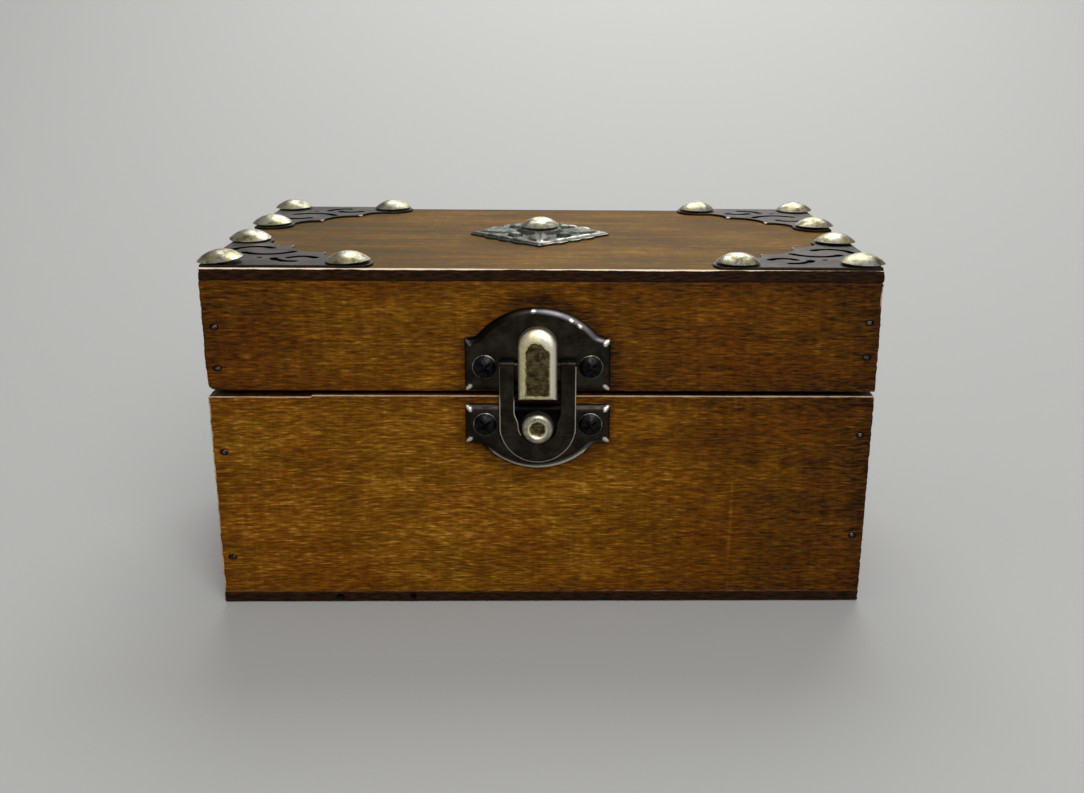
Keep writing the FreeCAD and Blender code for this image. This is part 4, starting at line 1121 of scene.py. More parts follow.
def scroll_slot(along, across, radius, start, end):
    """A slot of even width on an arc, with round ends."""
    def spot(angle, r):
        return (along + r * math.cos(angle), across + r * math.sin(angle))

    first, last = math.radians(start), math.radians(end)
    middle = (first + last) / 2
    wide, thin = radius + SLOT_WIDTH / 2, radius - SLOT_WIDTH / 2
    cap = SLOT_WIDTH / 2 / radius
    return (arc_points(spot(first, wide), spot(middle, wide), spot(last, wide), 26)
            + arc_points(spot(last, wide), spot(last + cap, radius), spot(last, thin), 6)
            + arc_points(spot(last, thin), spot(middle, thin), spot(first, thin), 22)
            + arc_points(spot(first, thin), spot(first - cap, radius), spot(first, wide), 6))


def cusp_polish_and_glint(along, across, out, now):
    """The two cusps of the inner edge are polished and painted bright as glints."""
    away = math.hypot(max(along, across) - CUSP_FAR, min(along, across) - CUSP_NEAR)
    return now + 0.8 * float(falloff(away, 0.4, 1.0)) if now > 0 else now


scrolls = [scroll_slot(*slot) for slot in SLOTS.values()]
dot_turns = [k * math.pi / 8 for k in range(16)]
scrolls.append([(DOT[0] + DOT_RADIUS * math.cos(turn), DOT[1] + DOT_RADIUS * math.sin(turn))
                for turn in dot_turns])
leaf_shape = corner_outline()
sheet_edge = pressed_edge((plate_top - lid_top) / MM, 0.14, 0.42)
# A black sheet under the slots, painted shade seen through them.
shade_sheet_edge = [(0.6, 0.02, -1.0), (0.6, 0.1, -1.0)]
box_low, box_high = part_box("lid_top_board")
for where in corners:
    side_x = -1 if where.endswith("left") else 1
    side_y = -1 if where.startswith("front") else 1
    corner_x = box_low.x if side_x < 0 else box_high.x
    corner_y = box_low.y if side_y < 0 else box_high.y

    def on_lid(u, v, height):
        return (corner_x - side_x * u * MM, corner_y - side_y * v * MM, lid_top + height * MM)

    def from_lid(co):
        return ((corner_x - co.x) * side_x / MM, (corner_y - co.y) * side_y / MM, (co.z - lid_top) / MM)

    name = "corner_leaf_" + where
    leaf = plate_mesh("leaf", leaf_shape, scrolls, sheet_edge, on_lid)
    painted_wear_and_light(leaf, cusp_polish_and_glint, from_lid)
    leaf.materials.append(corner_bronze)
    shade_sheet = plate_mesh("shade_sheet", leaf_shape, [], shade_sheet_edge, on_lid)
    new_piece(name, joined_mesh(name, [leaf, shade_sheet]), "lid", ["corner_plate_" + where])
print("corner plates", len(corners), "with", len(scrolls), "openings each")

# %% [markdown]
# ## Diamond ornament
# A thin stamping lies in the middle of the lid: a diamond with scalloped sides, a leaf in each point,
# a bead between the leaves and a boss under its nail. Stamped relief has no undercuts,
# so the piece is a polar grid whose height follows a formula, closed by a flat back.
# Its raised parts are polished, a painted highlight lies on its right side, and the left side stays dark.

# %% Diamond ornament
TIP = 17.4
SHEET = 0.8
SCALLOP_FROM = 0.22
SCALLOPS = 3
SCALLOP_BULGE = 0.9
LEAF_ROOT = 4.0
LEAF_TIP = 15.9
LEAF_HALF = 2.7
LEAF_RISE = 1.05
BEAD_OUT = 8.6
BEAD_RADIUS = 1.9
BEAD_RISE = 1.15
BOSS_FOOT = 6.4
BOSS_RISE = 1.28
BOSS_TOP = 5.0
RIM_ROUNDING = 0.3
ORNAMENT_RAYS = 240
ORNAMENT_RINGS = 44


def eased(value, low, high):
    return 1 - float(falloff(value, low, high))


def scallop(angle):
    """How far the scallops swell at an angle, from 0 to 1."""
    turn = angle % (math.pi / 2)
    along = math.sin(turn) / (math.cos(turn) + math.sin(turn))
    phase = (along - SCALLOP_FROM) / (1 - 2 * SCALLOP_FROM) * SCALLOPS
    return abs(math.sin(math.pi * phase)) ** 0.8 if 0 < phase < SCALLOPS else 0.0


def diamond_reach(angle):
    """How far the diamond reaches at an angle, with its scallops."""
    turn = angle % (math.pi / 2)
    straight = TIP / (math.cos(turn) + math.sin(turn))
    return straight + SCALLOP_BULGE * scallop(angle) / math.cos(turn - math.pi / 4)


def diamond_relief(angle, r, share):
    """Height of the stamping over its sheet at an angle and radius. share is the radius over the reach."""
    turn = (angle + math.pi / 4) % (math.pi / 2) - math.pi / 4
    along, across = r * math.cos(turn), r * math.sin(turn)
    height = (0.18 + 0.35 * scallop(angle)) * math.exp(-((share - 0.91) / 0.055) ** 2)
    height -= 0.22 * math.exp(-((share - 0.78) / 0.06) ** 2)
    if LEAF_ROOT < along < LEAF_TIP:
        run = (along - LEAF_ROOT) / (LEAF_TIP - LEAF_ROOT)
        half = LEAF_HALF * math.sin(math.pi * run ** 0.8) ** 0.75
        if abs(across) < half:
            side = across / half
            vein = 0.10 * math.cos((along - 1.3 * abs(across)) * 4.2)
            rib = 0.28 * math.exp(-(across / 0.26) ** 2)
            crown = LEAF_RISE * (1 - side * side) ** 0.6 * math.sin(math.pi * run) ** 0.4
            height = max(height, crown * (0.9 + vein) - rib)
    bead_away = math.hypot(along - BEAD_OUT * math.sqrt(0.5), abs(across) - BEAD_OUT * math.sqrt(0.5))
    if bead_away < BEAD_RADIUS:
        height = max(height, BEAD_RISE * math.sqrt(1 - (bead_away / BEAD_RADIUS) ** 2))
    return max(height, BOSS_RISE * (1 - eased(r, BOSS_TOP, BOSS_FOOT)))


def diamond_polish_and_light(angle, share, raised):
    """The raised parts are polished, with a painted highlight on the right side's raised parts and scallops.
    """
    # A painted highlight on the right side; the left side gets only the polish of its raised parts.
    right_side = eased(math.cos(angle) - 0.35 * math.sin(angle), -0.1, 0.5)
    rim = eased(share, 0.80, 0.90) * (0.85 + 0.15 * scallop(angle))
    return eased(raised, 0.2, 1.0) * (0.12 + 0.4 * right_side) + 0.8 * rim * right_side


def ornament_mesh(centre_x, base_z):
    """The stamping as rings of points from its middle out to its rim, closed by a flat back."""
    shape = bmesh.new()
    wear_and_light = shape.verts.layers.float.new("wear_and_light")

    def vert(angle, r, height, worn_and_lit):
        x, y = r * math.cos(angle), r * math.sin(angle)
        made = shape.verts.new((centre_x + x * MM, y * MM, base_z + height * MM))
        made[wear_and_light] = worn_and_lit
        return made

    angles = [2 * math.pi * ray / ORNAMENT_RAYS for ray in range(ORNAMENT_RAYS)]
    rings = []
    for row in range(1, ORNAMENT_RINGS + 1):
        share = math.sin(math.pi / 2 * row / ORNAMENT_RINGS) ** 0.9
        ring = []
        for angle in angles:
            reach = diamond_reach(angle)
            raised = diamond_relief(angle, reach * share, share)
            height = SHEET + raised - RIM_ROUNDING * eased(share, 0.95, 1.0)
            ring.append(vert(angle, reach * share, height, diamond_polish_and_light(angle, share, raised)))
        rings.append(ring)
    rings.append([vert(angle, diamond_reach(angle), 0, 0) for angle in angles])
    bridge(shape, rings)
    shape.faces.new(rings[0])
    shape.faces.new(rings[-1])
    mesh = smoothed(mesh_of(shape, "diamond_stamping"), 55)
    mesh.materials.append(ornament_bronze)
    return mesh


mesh = ornament_mesh(middle_of(*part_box("ornament_nail")).x, lid_top)
new_piece("diamond_stamping", mesh, "lid", ["diamond_ornament"])
print("ornament", len(mesh.polygons), "faces")

# %% [markdown]
# ## Latch plates
# The latch has two black plates: one on the lid, arched above, and the keeper on the base, arched below.
# Both have square tabs with flared tips and a broad rounded edge. Polishing cut through the black
# at the corners of the tabs and along the keeper's lower edge, and these marks are painted bright as glints.
# The rounded edge carries a painted grey reflection on its right side and painted shade at its left.
# They are drawn from the front, across from the latch's middle line and up from the table.

# %% Latch plates
PLATE_T = 1.4
PILLOW = 1.7
PILLOW_FOOT = 0.25
PILLOW_STEPS = 7
LATCH_PLATE = {"half": 16.2, "straight": 52.4, "shoulder": 64.4, "apex": 71.4, "step": (3.0, 0.9),
               "notch": (5.1, 1.8)}
KEEPER_PLATE = {"half": 16.3, "straight": 49.15, "shoulder": 40.05, "apex": 33.8, "step": (3.4, 0.1)}
# From where to where along a tab corner's diagonal the polished stroke is painted bright as a glint.
GLINT = (0.35, 1.15)
# Specks on the arch where polish cut through the black, painted bright as glints: across, and in from the
# edge.
ARCH_SPECKS = ((-0.9, 0.6), (7.4, 1.0), (9.3, 1.1))
EAR_ROOT = 54.9
EAR_TOP = 57.0
EAR_REACH = 1.1
EAR_THICK = 1.2
EAR_CHAMFER = 0.15
EAR_STARTS = (-2.95, 1.75)
joint_place = {joint["name"]: Vector(joint["pos_m"]) for joint in frame["joints"]}
PIVOT_OUT = (front - joint_place["lever_turn"].y) / MM
PIVOT_Z = joint_place["lever_turn"].z / MM
BAIL_PIN_OUT = (front - joint_place["bail_swing"].y) / MM
BAIL_PIN_Z = joint_place["bail_swing"].z / MM


def on_front(u, v, height):
    """A point of the latch, across from its middle line, up from the table and out from the front, in mm."""
    return (latch_x + u * MM, front - height * MM, v * MM)


def from_front(co):
    return ((co.x - latch_x) / MM, co.z / MM, (front - co.y) / MM)


def flare(tip, control, end, count):
    """A hollow curve from a tab's tip to the arch."""
    return [((1 - t) ** 2 * tip[0] + 2 * t * (1 - t) * control[0] + t * t * end[0],
             (1 - t) ** 2 * tip[1] + 2 * t * (1 - t) * control[1] + t * t * end[1])
            for t in (k / count for k in range(count))]


def arched_outline(half, straight, shoulder, apex, step, notch=(0, 0)):
    """A straight edge, two tabs, and an arch that springs from hollow flares. notch is half the width and the
    height of a notch in the straight edge."""
    way = 1 if apex > straight else -1
    reach, sill = notch[0], straight + way * notch[1]
    spring = (half - step[0], shoulder + way * step[1])
    bend = (half - 0.75 * step[0], shoulder + way * 0.1)
    right = []
    if reach:
        right += line_points((0, sill), (reach, sill), 14) + line_points((reach, sill), (reach, straight), 5)
    right += line_points((reach, straight), (half, straight), 30)
    right += line_points((half, straight), (half, shoulder), 26) + flare((half, shoulder), bend, spring, 10)
    right += arc_points(spring, (0, apex), (-spring[0], spring[1]), 72)[:36]
    return right + [(0, apex)] + [(-u, v) for u, v in right[:0:-1]]


# The middle of the rounded edge gets a value near 0.3: the painted grey reflection of the bevel colour.
pillow_edge = [(0.04, 0.0, 0.0), (0.0, 0.05, 0.0)]
for k in range(PILLOW_STEPS + 1):
    angle = math.pi / 2 * k / PILLOW_STEPS
    height = PILLOW_FOOT + (PLATE_T - PILLOW_FOOT) * math.sin(angle)
    worn_and_lit = 0.3 * math.sin(2 * angle) ** 0.5 if 0 < k < PILLOW_STEPS else 0.0
    pillow_edge.append((PILLOW * (1 - math.cos(angle)), height, worn_and_lit))
pillow_edge += [(PILLOW + 0.2, PLATE_T, 0.0), (PILLOW + 0.4, PLATE_T, 0.0)]


def plate_wear_and_light(plate):
    """The rule of a plate's wear and painted light: polished strokes at the tabs' corners painted bright as
    glints, a painted grey reflection on the right side of the edge and painted shade at the upper plate's
    left flare, polished specks on the upper arch and a polished line on the lower one, both painted bright, a
    painted highlight along the keeper's top edge, and painted shade on the keeper behind the lever."""
    way = 1 if plate["apex"] > plate["straight"] else -1
    width = plate["half"] - plate["step"][0]
    rise = abs(plate["apex"] - plate["shoulder"]) - plate["step"][1]
    radius = (width ** 2 + rise ** 2) / (2 * rise)
    centre = plate["apex"] - way * radius

    def rule(u, v, out, now):
        in_from_arc = radius - math.hypot(u, v - centre)
        on_arch = eased(way * (v - plate["shoulder"]), -1.4, 0.4)
        # A painted grey reflection on the rounded edge, strongest on the right side of the arch.
        polish_and_light = now * (0.22 + on_arch * (1.2 * eased(u, -5, 4) - 0.22))
        # Painted shade over the left part of the upper plate's edge near its shoulder.
        if way > 0 and out < PLATE_T - 0.02:
            polish_and_light -= 0.6 * (1 - eased(u, -9, -1)) * eased(v, plate["shoulder"] - 3, plate["shoulder"] - 1)
        # On the keeper: a painted highlight along its top edge, and painted shade behind the lever.
        if way < 0:
            polish_and_light += 0.3 * (1 - eased(abs(plate["straight"] - v - 0.2), 0.05, 0.25))
            near_rim = eased(v, plate["straight"] - 3.2, plate["straight"] - 1.8)
            polish_and_light -= 0.8 * (1 - eased(abs(u), 4.9, 5.9)) * near_rim
        # Polished strokes at the tabs' corners, painted bright as glints.
        for corner, turn in ((plate["straight"], way), (plate["shoulder"], -way)):
            in_x, in_z = plate["half"] - abs(u), turn * (v - corner)
            run = min(max((in_x + in_z) / 2, GLINT[0]), GLINT[1])
            polish_and_light += 1.1 * (1 - eased(math.hypot(in_x - run, in_z - run), 0.2, 0.6))
        # A polished line along the keeper's lower arch, painted bright as a highlight.
        if way < 0:
            line = 1 - eased(abs(in_from_arc - 0.62), 0.1, 0.5)
            polish_and_light += 0.9 * line * on_arch * (1 - eased(abs(u), 9.5, 12))
        # Polished specks on the upper arch, painted bright as glints.
        for across, depth in ARCH_SPECKS if way > 0 else ():
            away = math.hypot(0.7 * (u - across), in_from_arc - depth)
            polish_and_light += 0.9 * on_arch * (1 - eased(away, 0.15, 0.5))
        return polish_and_light

    return rule


def ear_mesh(start):
    """A bearing ear of the lever, drawn from the side: out from the front, and up."""
    near, far = PIVOT_OUT - EAR_REACH, PIVOT_OUT + EAR_REACH
    turn = EAR_REACH * (1 - math.sqrt(0.5))
    behind = PLATE_T / 2
    outline = line_points((behind, EAR_ROOT), (near, EAR_ROOT), 3)
    outline += line_points((near, EAR_ROOT), (near, PIVOT_Z), 4)
    outline += arc_points((near, PIVOT_Z), (PIVOT_OUT, PIVOT_Z - EAR_REACH), (far, PIVOT_Z), 14)
    outline += line_points((far, PIVOT_Z), (far, EAR_TOP - EAR_REACH), 4)
    outline += arc_points((far, EAR_TOP - EAR_REACH), (far - turn, EAR_TOP - turn), (PIVOT_OUT, EAR_TOP), 8)
    outline += line_points((PIVOT_OUT, EAR_TOP), (behind, EAR_TOP), 4)
    outline += line_points((behind, EAR_TOP), (behind, EAR_ROOT), 4)
    edge = [(EAR_CHAMFER, 0.0, 0.0), (0.0, EAR_CHAMFER, 0.1), (0.0, EAR_THICK - EAR_CHAMFER, 0.1),
            (EAR_CHAMFER, EAR_THICK, 0.0)]

    def beside(u, v, height):
        return (latch_x + (start + height) * MM, front - u * MM, v * MM)

    return plate_mesh("ear", outline, [], edge, beside)


for label, body, plate in (("latch", "lid", LATCH_PLATE), ("keeper", "base", KEEPER_PLATE)):
    node = label + "_plate"
    mesh = plate_mesh(node, arched_outline(**plate), [], pillow_edge, on_front)
    painted_wear_and_light(mesh, plate_wear_and_light(plate), from_front)
    mesh.materials.append(latch_black)
    if label == "latch":
        mesh = joined_mesh(node, [mesh] + [ear_mesh(start) for start in EAR_STARTS])
    new_piece(label + "_black_plate", mesh, body, [node])
    print(node, "faces", len(mesh.polygons))

# %% [markdown]
# ## Screws with a crossed recess
# The plates are held by black pan-head screws. The head is turned, and the crossed recess is cut from it
# with a tapered cross by a Boolean, then the same Geometry Nodes tree sets the four screws.

# %% Cutting helper


def carved(mesh, cutters):
    """A mesh cut by other closed meshes."""
    body = bpy.data.objects.new("carved", mesh)
    scene.collection.objects.link(body)
    tools = []
    for cutter in cutters:
        tool = bpy.data.objects.new("cutter", cutter)
        scene.collection.objects.link(tool)
        modifier = body.modifiers.new("carve", "BOOLEAN")
        modifier.operation = "DIFFERENCE"
        modifier.solver = "EXACT"
        modifier.object = tool
        tools.append(tool)
    depsgraph = bpy.context.evaluated_depsgraph_get()
    result = bpy.data.meshes.new_from_object(body.evaluated_get(depsgraph))
    for used in tools + [body]:
        bpy.data.objects.remove(used)
    return result


# %% Screws
SCREW_RADIUS = 2.7
SCREW_EDGE = 0.4
SCREW_RISE = 1.1
CROSS_REACH = 1.6
CROSS_HALF = 0.36
CROSS_DEPTH = 0.85

screw_profile = [(0, -2.0), (1.1, -1.4), (1.1, 0.0), (SCREW_RADIUS - 0.05, 0.0), (SCREW_RADIUS, 0.06)]
screw_profile += dome(SCREW_RADIUS, SCREW_EDGE, SCREW_RISE, 10)
screw_rubs = [0, 0, 0, 0, 0.1, 0.8, 0.42] + [0] * 9
head_mesh = turned("screw", screw_profile, 48, screw_rubs)
arm, half = CROSS_REACH, CROSS_HALF
cross = [(half, half), (half, arm), (-half, arm), (-half, half), (-arm, half), (-arm, -half), (-half, -half),
         (-half, -arm), (half, -arm), (half, -half), (arm, -half), (arm, half)]
screw_top = SCREW_EDGE + SCREW_RISE
recess = plate_mesh("recess", cross, [], [(0.14, screw_top - CROSS_DEPTH, 0.0), (0.0, screw_top + 0.4, 0.0)],
                    lambda u, v, height: (u * MM, v * MM, height * MM))
screw_shape = carved(head_mesh, [recess])
for label, body in (("latch", "lid"), ("keeper", "base")):
    node = label + "_screws"
    seats = seats_of(node, FORWARD, front - PLATE_T * MM)
    mesh = set_out(node, screw_shape, seats, screw_black, tilt=0.02, dent=0.02, dent_size=1.2, seed=11)
    new_piece(node + "_black", mesh, body, [node])

# %% [markdown]
# ## Lever and post
# The lever is a brass bullet with rounded flanks, a sunk brushed panel and a nose that slopes back.
# Rings of a bullet outline, each narrower and further out than the last, give that form.
# A cavity is carved from behind, as the real one is pressed from sheet.
# The post is a turned drum with a dished face.

# %% Lever
lever_low, lever_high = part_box("latch_lever")
LEVER_HALF = (lever_high.x - lever_low.x) / 2 / MM
LEVER_BOTTOM, LEVER_TOP = lever_low.z / MM, lever_high.z / MM
LEVER_BACK = (front - lever_high.y) / MM
LEVER_FACE = (front - lever_low.y) / MM
FLANK = 1.6
FLANK_DEEP = 1.5
NOSE = 4.3
TAIL = 0.9
# The dull blotch on the nose: its middle across and up, and half its width and height.
BLOTCH = (-0.3, 62.9, 2.5, 2.0)
LEVER_SHEET = 0.8
LEVER_STEPS = 18
PANEL_SINK = 0.12
PANEL_CORNER = 0.8
PANEL_SHARES = (1.06, 1.14, 1.22, 1.3, 1.38)
PIN_HOLE = 0.66


def bullet(share, count=56):
    """The lever's outline at a share of the way from its flank to its face."""
    half = LEVER_HALF - FLANK * share
    bottom = LEVER_BOTTOM + TAIL * share
    top = LEVER_TOP - NOSE * share
    shoulder = LEVER_TOP - LEVER_HALF - 1.3 * share
    power = 2.0 + 0.7 * share
    points = line_points((-half, bottom), (half, bottom), 10)
    points += line_points((half, bottom), (half, shoulder), 14)
    for k in range(count + 1):
        c, s = math.cos(math.pi * k / count), math.sin(math.pi * k / count)
        points.append((half * math.copysign(abs(c) ** (2 / power), c),
                       shoulder + (top - shoulder) * abs(s) ** (2 / power)))
    return points + line_points((-half, shoulder), (-half, bottom), 14)[1:]


def ring_loft(name, rings):
    """A closed mesh through rings of equal length, capped at both ends."""
    shape = bmesh.new()
    made = [[shape.verts.new(point) for point in ring] for ring in rings]
    bridge(shape, made)
    for ring in (made[0], made[-1]):
        edges = [shape.edges.get((ring[k], ring[(k + 1) % len(ring)])) for k in range(len(ring))]
        bmesh.ops.triangle_fill(shape, use_beauty=True, edges=edges)
    return mesh_of(shape, name)


def bore(z, out, half, radius=PIN_HOLE, sides=30):
    """A round bar across the latch that bores the hole of a pin."""
    turns = [2 * math.pi * k / sides for k in range(sides)]
    return ring_loft("bore", [[on_front(x, z + radius * math.sin(turn), out + radius * math.cos(turn))
                               for turn in turns] for x in (-half, half)])


lever_stations = [(0.0, LEVER_BACK)]
for k in range(LEVER_STEPS + 1):
    angle = math.pi / 2 * k / LEVER_STEPS
    lever_stations.append((1 - math.cos(angle), LEVER_FACE - FLANK_DEEP * (1 - math.sin(angle))))
lever_stations += [(share, LEVER_FACE - PANEL_SINK) for share in PANEL_SHARES]
lever_rings = [[on_front(u, v, out) for u, v in bullet(share)] for share, out in lever_stations]
inner = (LEVER_HALF - LEVER_SHEET) / LEVER_HALF
crown = LEVER_TOP - LEVER_HALF
cavity_outline = [(u * inner, crown + (v - crown) * inner if v > crown else v - 2.0) for u, v in bullet(0)]
cavity = ring_loft("cavity", [[on_front(u, v, out) for u, v in cavity_outline]
                              for out in (LEVER_BACK - 0.5, LEVER_FACE - FLANK_DEEP + 0.3)])
lever_mesh = carved(ring_loft("lever", lever_rings), [cavity, bore(PIVOT_Z, PIVOT_OUT, LEVER_HALF + 1),
                                                      bore(BAIL_PIN_Z, BAIL_PIN_OUT, LEVER_HALF + 1)])


def lever_wear_and_light(u, v, out, now):
    """The flanks are polished bright, and a painted highlight makes the right one brighter; the panel is dull
    with a ragged yellow line round it, and a mottled blotch runs from the panel up the nose."""
    sunk = abs(out - LEVER_FACE + PANEL_SINK) < 0.01
    on_panel = sunk and abs(u) < LEVER_HALF - FLANK and v < LEVER_TOP - NOSE
    away = math.hypot((u - BLOTCH[0]) / BLOTCH[2], (v - BLOTCH[1]) / BLOTCH[3])
    # Polished flanks, with a painted highlight that makes the right one brighter.
    worn_and_lit = 0.64 + 0.32 * eased(u, -1.5, 2.0)
    if out > LEVER_FACE - 0.005:
        worn_and_lit = 0.3
    elif on_panel:
        in_x = PANEL_CORNER - LEVER_HALF + FLANK + abs(u)
        in_z = PANEL_CORNER + LEVER_BOTTOM + TAIL - v
        worn_and_lit = 0.28 * eased(math.hypot(max(in_x, 0), max(in_z, 0)), PANEL_CORNER - 0.45, PANEL_CORNER - 0.1)
    return worn_and_lit * (1 - float(falloff(away, 0.6, 1.1)))


painted_wear_and_light(lever_mesh, lever_wear_and_light, from_front)
lever_mesh.materials.append(lever_brass)
new_piece("brass_lever", smoothed(lever_mesh, 38), "lever", ["latch_lever"])
print("lever", len(lever_mesh.polygons), "faces")

# %% Post
post_low, post_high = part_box("keeper_post")
POST_RADIUS = (post_high.x - post_low.x) / 2 / MM
POST_HEIGHT = (front - post_low.y) / MM - PLATE_T
DISH_RADIUS = 1.95
DISH_DEPTH = 0.8
POST_ROUND = 1.0

post_profile = [(0, -0.4), (POST_RADIUS - 0.05, -0.4), (POST_RADIUS, -0.3), (POST_RADIUS, 0.6),
                (POST_RADIUS, POST_HEIGHT - POST_ROUND)]
post_rubs = [0.0] * 5
for k in range(1, 8):
    angle = math.pi / 2 * k / 7
    post_profile.append((POST_RADIUS - POST_ROUND * (1 - math.cos(angle)),
                         POST_HEIGHT - POST_ROUND * (1 - math.sin(angle))))
    post_rubs.append(0.0 if k < 7 else 0.3)
for k in range(9):
    r = DISH_RADIUS * (1 - k / 8)
    post_profile.append((r, POST_HEIGHT - 0.02 - DISH_DEPTH * (1 - (r / DISH_RADIUS) ** 2) ** 0.7))
    post_rubs.append((1.0, 0.3)[k] if k < 2 else 0.0)
post_mesh = turned("brass_post", post_profile, 56, post_rubs)
post_z = middle_of(post_low, post_high).z
post_seat = Matrix.Translation((latch_x, front - PLATE_T * MM, post_z))
post_mesh.transform(post_seat @ Matrix.Rotation(math.pi / 2, 4, "X"))
post_mesh.materials.append(post_brass)
post_mesh.materials.append(lever_brass)
for polygon in post_mesh.polygons:
    off_axis = math.hypot(polygon.center.x - latch_x, polygon.center.z - post_z) / MM
    polygon.material_index = 1 if off_axis < DISH_RADIUS - 0.2 and polygon.normal.y < 0 else 0
new_piece("brass_post", smoothed(post_mesh, 50), "base", ["keeper_post"])
print("post", len(post_mesh.polygons), "faces")

# %% [markdown]
# ## Bail
# The bail is a flat black U that hangs on a pin through the lever and hooks under the post.
# Its outer edge is rubbed bright, partly a painted highlight that is weaker on the left near the eyes,
# and a shallow step below the post forms the lip, with a faint painted highlight along it.
# The arms thicken towards their eyes, which are turned tubes round the pin.

# %% Bail
bail_low, bail_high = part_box("latch_bail")
BAIL_OUTER = (bail_high.x - bail_low.x) / 2 / MM
BAIL_ARM = 3.5
BAIL_INNER = BAIL_OUTER - BAIL_ARM
BAIL_BOTTOM = bail_low.z / MM
BAIL_BACK = 1.7
BAIL_THICK = 1.4
EYE_RADIUS = 1.1
EYE_REACH = 1.71
EYE_WALL = 0.88
EYE_CHAMFER = 0.12
# Painted shade on the bail's eyes, a value below zero.
EYE_SHADE = -0.45
SEAT_RADIUS = POST_RADIUS + 0.7
SEAT_BOTTOM = post_low.z / MM - 0.2
SEAT_FLARE = 3.2
LIP_TOP = post_z / MM - 1.9
LIP_STEP = 0.45
ROLL_FROM = 54.6


def bail_outline():
    """The right half from the foot up, down the inside to the seat, and the same mirrored."""
    bend = BAIL_BOTTOM + BAIL_OUTER
    seat = SEAT_BOTTOM + SEAT_RADIUS
    top = BAIL_PIN_Z + 0.2
    outer_run, seat_run = BAIL_OUTER * math.sqrt(0.5), SEAT_RADIUS * math.sqrt(0.5)
    half = arc_points((0, BAIL_BOTTOM), (outer_run, bend - outer_run), (BAIL_OUTER, bend), 24)
    half += line_points((BAIL_OUTER, bend), (BAIL_OUTER, top), 24)
    half += line_points((BAIL_OUTER, top), (BAIL_INNER, top), 6)
    half += line_points((BAIL_INNER, top), (BAIL_INNER, seat + SEAT_FLARE), 20)
    for k in range(8):
        across = BAIL_INNER - (BAIL_INNER - SEAT_RADIUS) * eased(k / 8, 0, 1)
        half.append((across, seat + SEAT_FLARE * (1 - k / 8)))
    half += arc_points((SEAT_RADIUS, seat), (seat_run, seat - seat_run), (0, SEAT_BOTTOM), 16)
    return half + [(0, SEAT_BOTTOM)] + [(-u, v) for u, v in half[:0:-1]]


def bail_wear_and_light(u, v, out, now):
    """Bright outside edges, partly a painted highlight that is weaker on the left towards the eyes.
    Inside, a painted highlight on the lower left edge only.
    """
    inside = abs(u) < BAIL_INNER + 0.8 and v > SEAT_BOTTOM - 0.6
    if v > BAIL_PIN_Z - 0.6 and abs(u) < BAIL_OUTER - 0.5:
        return 0.0
    if inside:
        # Inside, a painted highlight on the lower left edge.
        return now * (1 - eased(v, 50, 52.5)) if u < 0 and v > LIP_TOP else 0.0
    # Outside, bright edges, the painted highlight weaker on the left towards the eyes.
    return now * (1 - 0.55 * eased(v, 50, 54) * (1 - eased(u, 0, 1)))


def press_lip_and_roll(mesh):
    """Cuts rows of edges across a flat bail, sinks its face below the lip and raises it towards the eyes."""
    shape = bmesh.new()
    shape.from_mesh(mesh)
    wear_and_light = shape.verts.layers.float["wear_and_light"]
    for height in [LIP_TOP + 0.12, LIP_TOP - 0.12] + [ROLL_FROM + 0.5 * k for k in range(9)]:
        everything = shape.verts[:] + shape.edges[:] + shape.faces[:]
        bmesh.ops.bisect_plane(shape, geom=everything, plane_co=(0, 0, height * MM), plane_no=(0, 0, 1))
    for vert in shape.verts:
        over = (front - vert.co.y) / MM - BAIL_BACK
        lip = LIP_STEP * eased(LIP_TOP - vert.co.z / MM, -0.12, 0.12)
        roll = (BAIL_PIN_OUT + EYE_RADIUS - bail_front) * eased(vert.co.z / MM, ROLL_FROM, BAIL_PIN_Z - 0.4)
        vert.co.y += (lip - roll) * eased(over, 0.6, BAIL_THICK - 0.3) * MM
        # A faint painted highlight along the top of the lip step.
        if over > BAIL_THICK - 0.1 and abs(vert.co.z / MM - LIP_TOP - 0.12) < 0.02:
            vert[wear_and_light] = max(vert[wear_and_light], 0.2)
    shape.to_mesh(mesh)
    shape.free()


bail_front = BAIL_BACK + BAIL_THICK
bail_edge = [(0.22, BAIL_BACK, 0.0), (0.06, BAIL_BACK + 0.07, 0.0), (0.0, BAIL_BACK + 0.25, 0.0),
             (0.0, bail_front - 0.32, 0.2), (0.05, bail_front - 0.16, 0.8), (0.15, bail_front - 0.05, 0.95),
             (0.27, bail_front, 0.5), (0.37, bail_front, 0.0), (0.6, bail_front, 0.0)]
bail_mesh = plate_mesh("bail", bail_outline(), [], bail_edge, on_front)
painted_wear_and_light(bail_mesh, bail_wear_and_light, from_front)
press_lip_and_roll(bail_mesh)
bail_parts = [carved(bail_mesh, [bore(BAIL_PIN_Z, BAIL_PIN_OUT, BAIL_OUTER + 1, EYE_WALL)])]
eye_tube = tube_profile(PIN_HOLE, EYE_RADIUS, EYE_REACH, EYE_CHAMFER)
for side in (-1, 1):
    eye = turned("eye", eye_tube, 32, [EYE_SHADE] * len(eye_tube))
    middle = Vector(on_front(side * (BAIL_INNER + BAIL_ARM / 2 - 0.02), BAIL_PIN_Z, BAIL_PIN_OUT))
    eye.transform(Matrix.Translation(middle) @ Matrix.Rotation(math.pi / 2, 4, "Y"))
    bail_parts.append(eye)
bail_mesh = joined_mesh("bail", bail_parts)
bail_mesh.materials.append(latch_black)
new_piece("black_bail", smoothed(bail_mesh, 32), "bail", ["latch_bail"])
print("bail", len(bail_mesh.polygons), "faces")

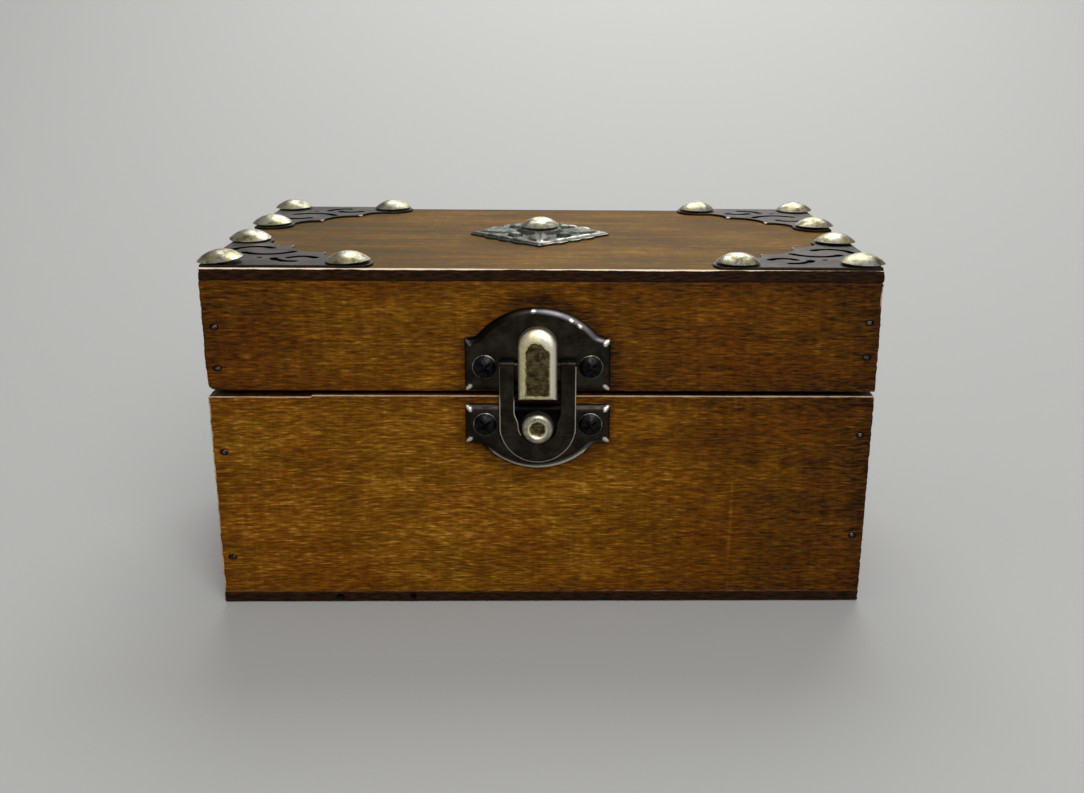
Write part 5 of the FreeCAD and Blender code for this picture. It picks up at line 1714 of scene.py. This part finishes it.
# %% [markdown]
# ## Hinges
# Two small butt hinges hold the lid at the back. A leaf is cut from sheet and rolled into knuckles,
# three on the base's leaf and two on the lid's, round a steel pin. The leaves are plates like the others,
# and the knuckles and the round-head nails repeat, so the tree for fixings sets them.

# %% Hinge leaves, knuckles and nails
LEAF_SHEET = 0.8
LEAF_CORNER = 1.2
KNUCKLE_COUNT = 5
KNUCKLE_RADIUS = 1.5
KNUCKLE_BORE = 0.73
KNUCKLE_GAP = 0.15
NAIL_HEAD = 1.4
NAIL_HEAD_RISE = 0.37
NAIL_HEAD_EDGE = 0.18
hinge_y, hinge_z = joint_place["lid_hinge"].y, joint_place["lid_hinge"].z
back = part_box("base_back_board")[1].y


def owns(k, way):
    """Whether a leaf has the knuckle with this number: the base's has the first, the third and the last."""
    return (k % 2 == 0) == (way < 0)


def leaf_outline(x0, width, height, way):
    """A leaf from the axis outward, in mm, with notches for the other leaf's knuckles."""
    pitch = width / KNUCKLE_COUNT
    near = []
    for k in range(KNUCKLE_COUNT):
        trim = KNUCKLE_GAP / 2 if owns(k, way) else -KNUCKLE_GAP / 2
        first = x0 + k * pitch + (trim if k else 0)
        last = x0 + (k + 1) * pitch - (trim if k < KNUCKLE_COUNT - 1 else 0)
        depth = 0.0 if owns(k, way) else KNUCKLE_RADIUS + KNUCKLE_GAP
        near += [(first, depth), (last, depth)]
    turn = LEAF_CORNER * (1 - math.sqrt(0.5))
    right = arc_points((x0 + width, height - LEAF_CORNER), (x0 + width - turn, height - turn),
                       (x0 + width - LEAF_CORNER, height), 8)
    left = arc_points((x0 + LEAF_CORNER, height), (x0 + turn, height - turn), (x0, height - LEAF_CORNER), 8)
    return near + right + left + [(x0, height - LEAF_CORNER)]


round_head = [(0, -2.0), (0.6, -1.4), (0.6, 0.0), (NAIL_HEAD - 0.06, 0.0), (NAIL_HEAD, 0.06)]
round_head += dome(NAIL_HEAD, NAIL_HEAD_EDGE, NAIL_HEAD_RISE, 6)
round_head_shape = turned("round_head", round_head, 24)
for part, way in (("base", -1), ("lid", 1)):
    nodes = [f"{side}_hinge_{part}_leaf" for side in ("left", "right")]
    pieces = []
    knuckle_seats = []
    for node in nodes:
        start, end = (corner.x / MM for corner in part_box(node.replace("lid", "base")))
        low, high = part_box(node)
        height = (high.z - hinge_z if way > 0 else hinge_z - low.z) / MM
        pitch = (end - start) / KNUCKLE_COUNT

        def on_back(u, v, out):
            return (u * MM, back + out * MM, hinge_z + way * v * MM)

        leaf = plate_mesh(node, leaf_outline(start, end - start, height, way), [],
                          pressed_edge(LEAF_SHEET, 0.2, 0.5), on_back)
        leaf.materials.append(hinge_bronze)
        pieces.append(leaf)
        for k in range(KNUCKLE_COUNT):
            if owns(k, way):
                knuckle_seats.append((((start + (k + 0.5) * pitch) * MM, hinge_y, hinge_z), (1, 0, 0)))
    reach = (pitch - KNUCKLE_GAP) / 2
    tube = tube_profile(KNUCKLE_BORE, KNUCKLE_RADIUS, reach, 0.14)
    knuckle_shape = turned("knuckle", tube, 32, [0.1, 0.5, 0.4, 0.4, 0.5, 0.1, 0.1])
    pieces.append(set_out(part + "_knuckles", knuckle_shape, knuckle_seats, hinge_bronze))
    name = part + "_hinge_leaves"
    new_piece(name, smoothed(joined_mesh(name, pieces), 35), part, nodes)
    node = f"hinge_{part}_nails"
    seats = seats_of(node, BACKWARD, back + LEAF_SHEET * MM)
    mesh = set_out(node, round_head_shape, seats, pin_steel, tilt=0.04, dent=0.04, dent_size=1.0, seed=5)
    new_piece(node + "_round", mesh, part, [node])

# %% [markdown]
# ## Pins
# The pins are plain turned wire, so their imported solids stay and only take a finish:
# steel in the hinges, black in the latch.

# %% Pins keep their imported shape
for name, node in frame["nodes"].items():
    if not node.hide_render:
        node.data.materials.clear()
        node.data.materials.append(pin_steel if "hinge" in name else latch_black)
        print("kept as packed", name)
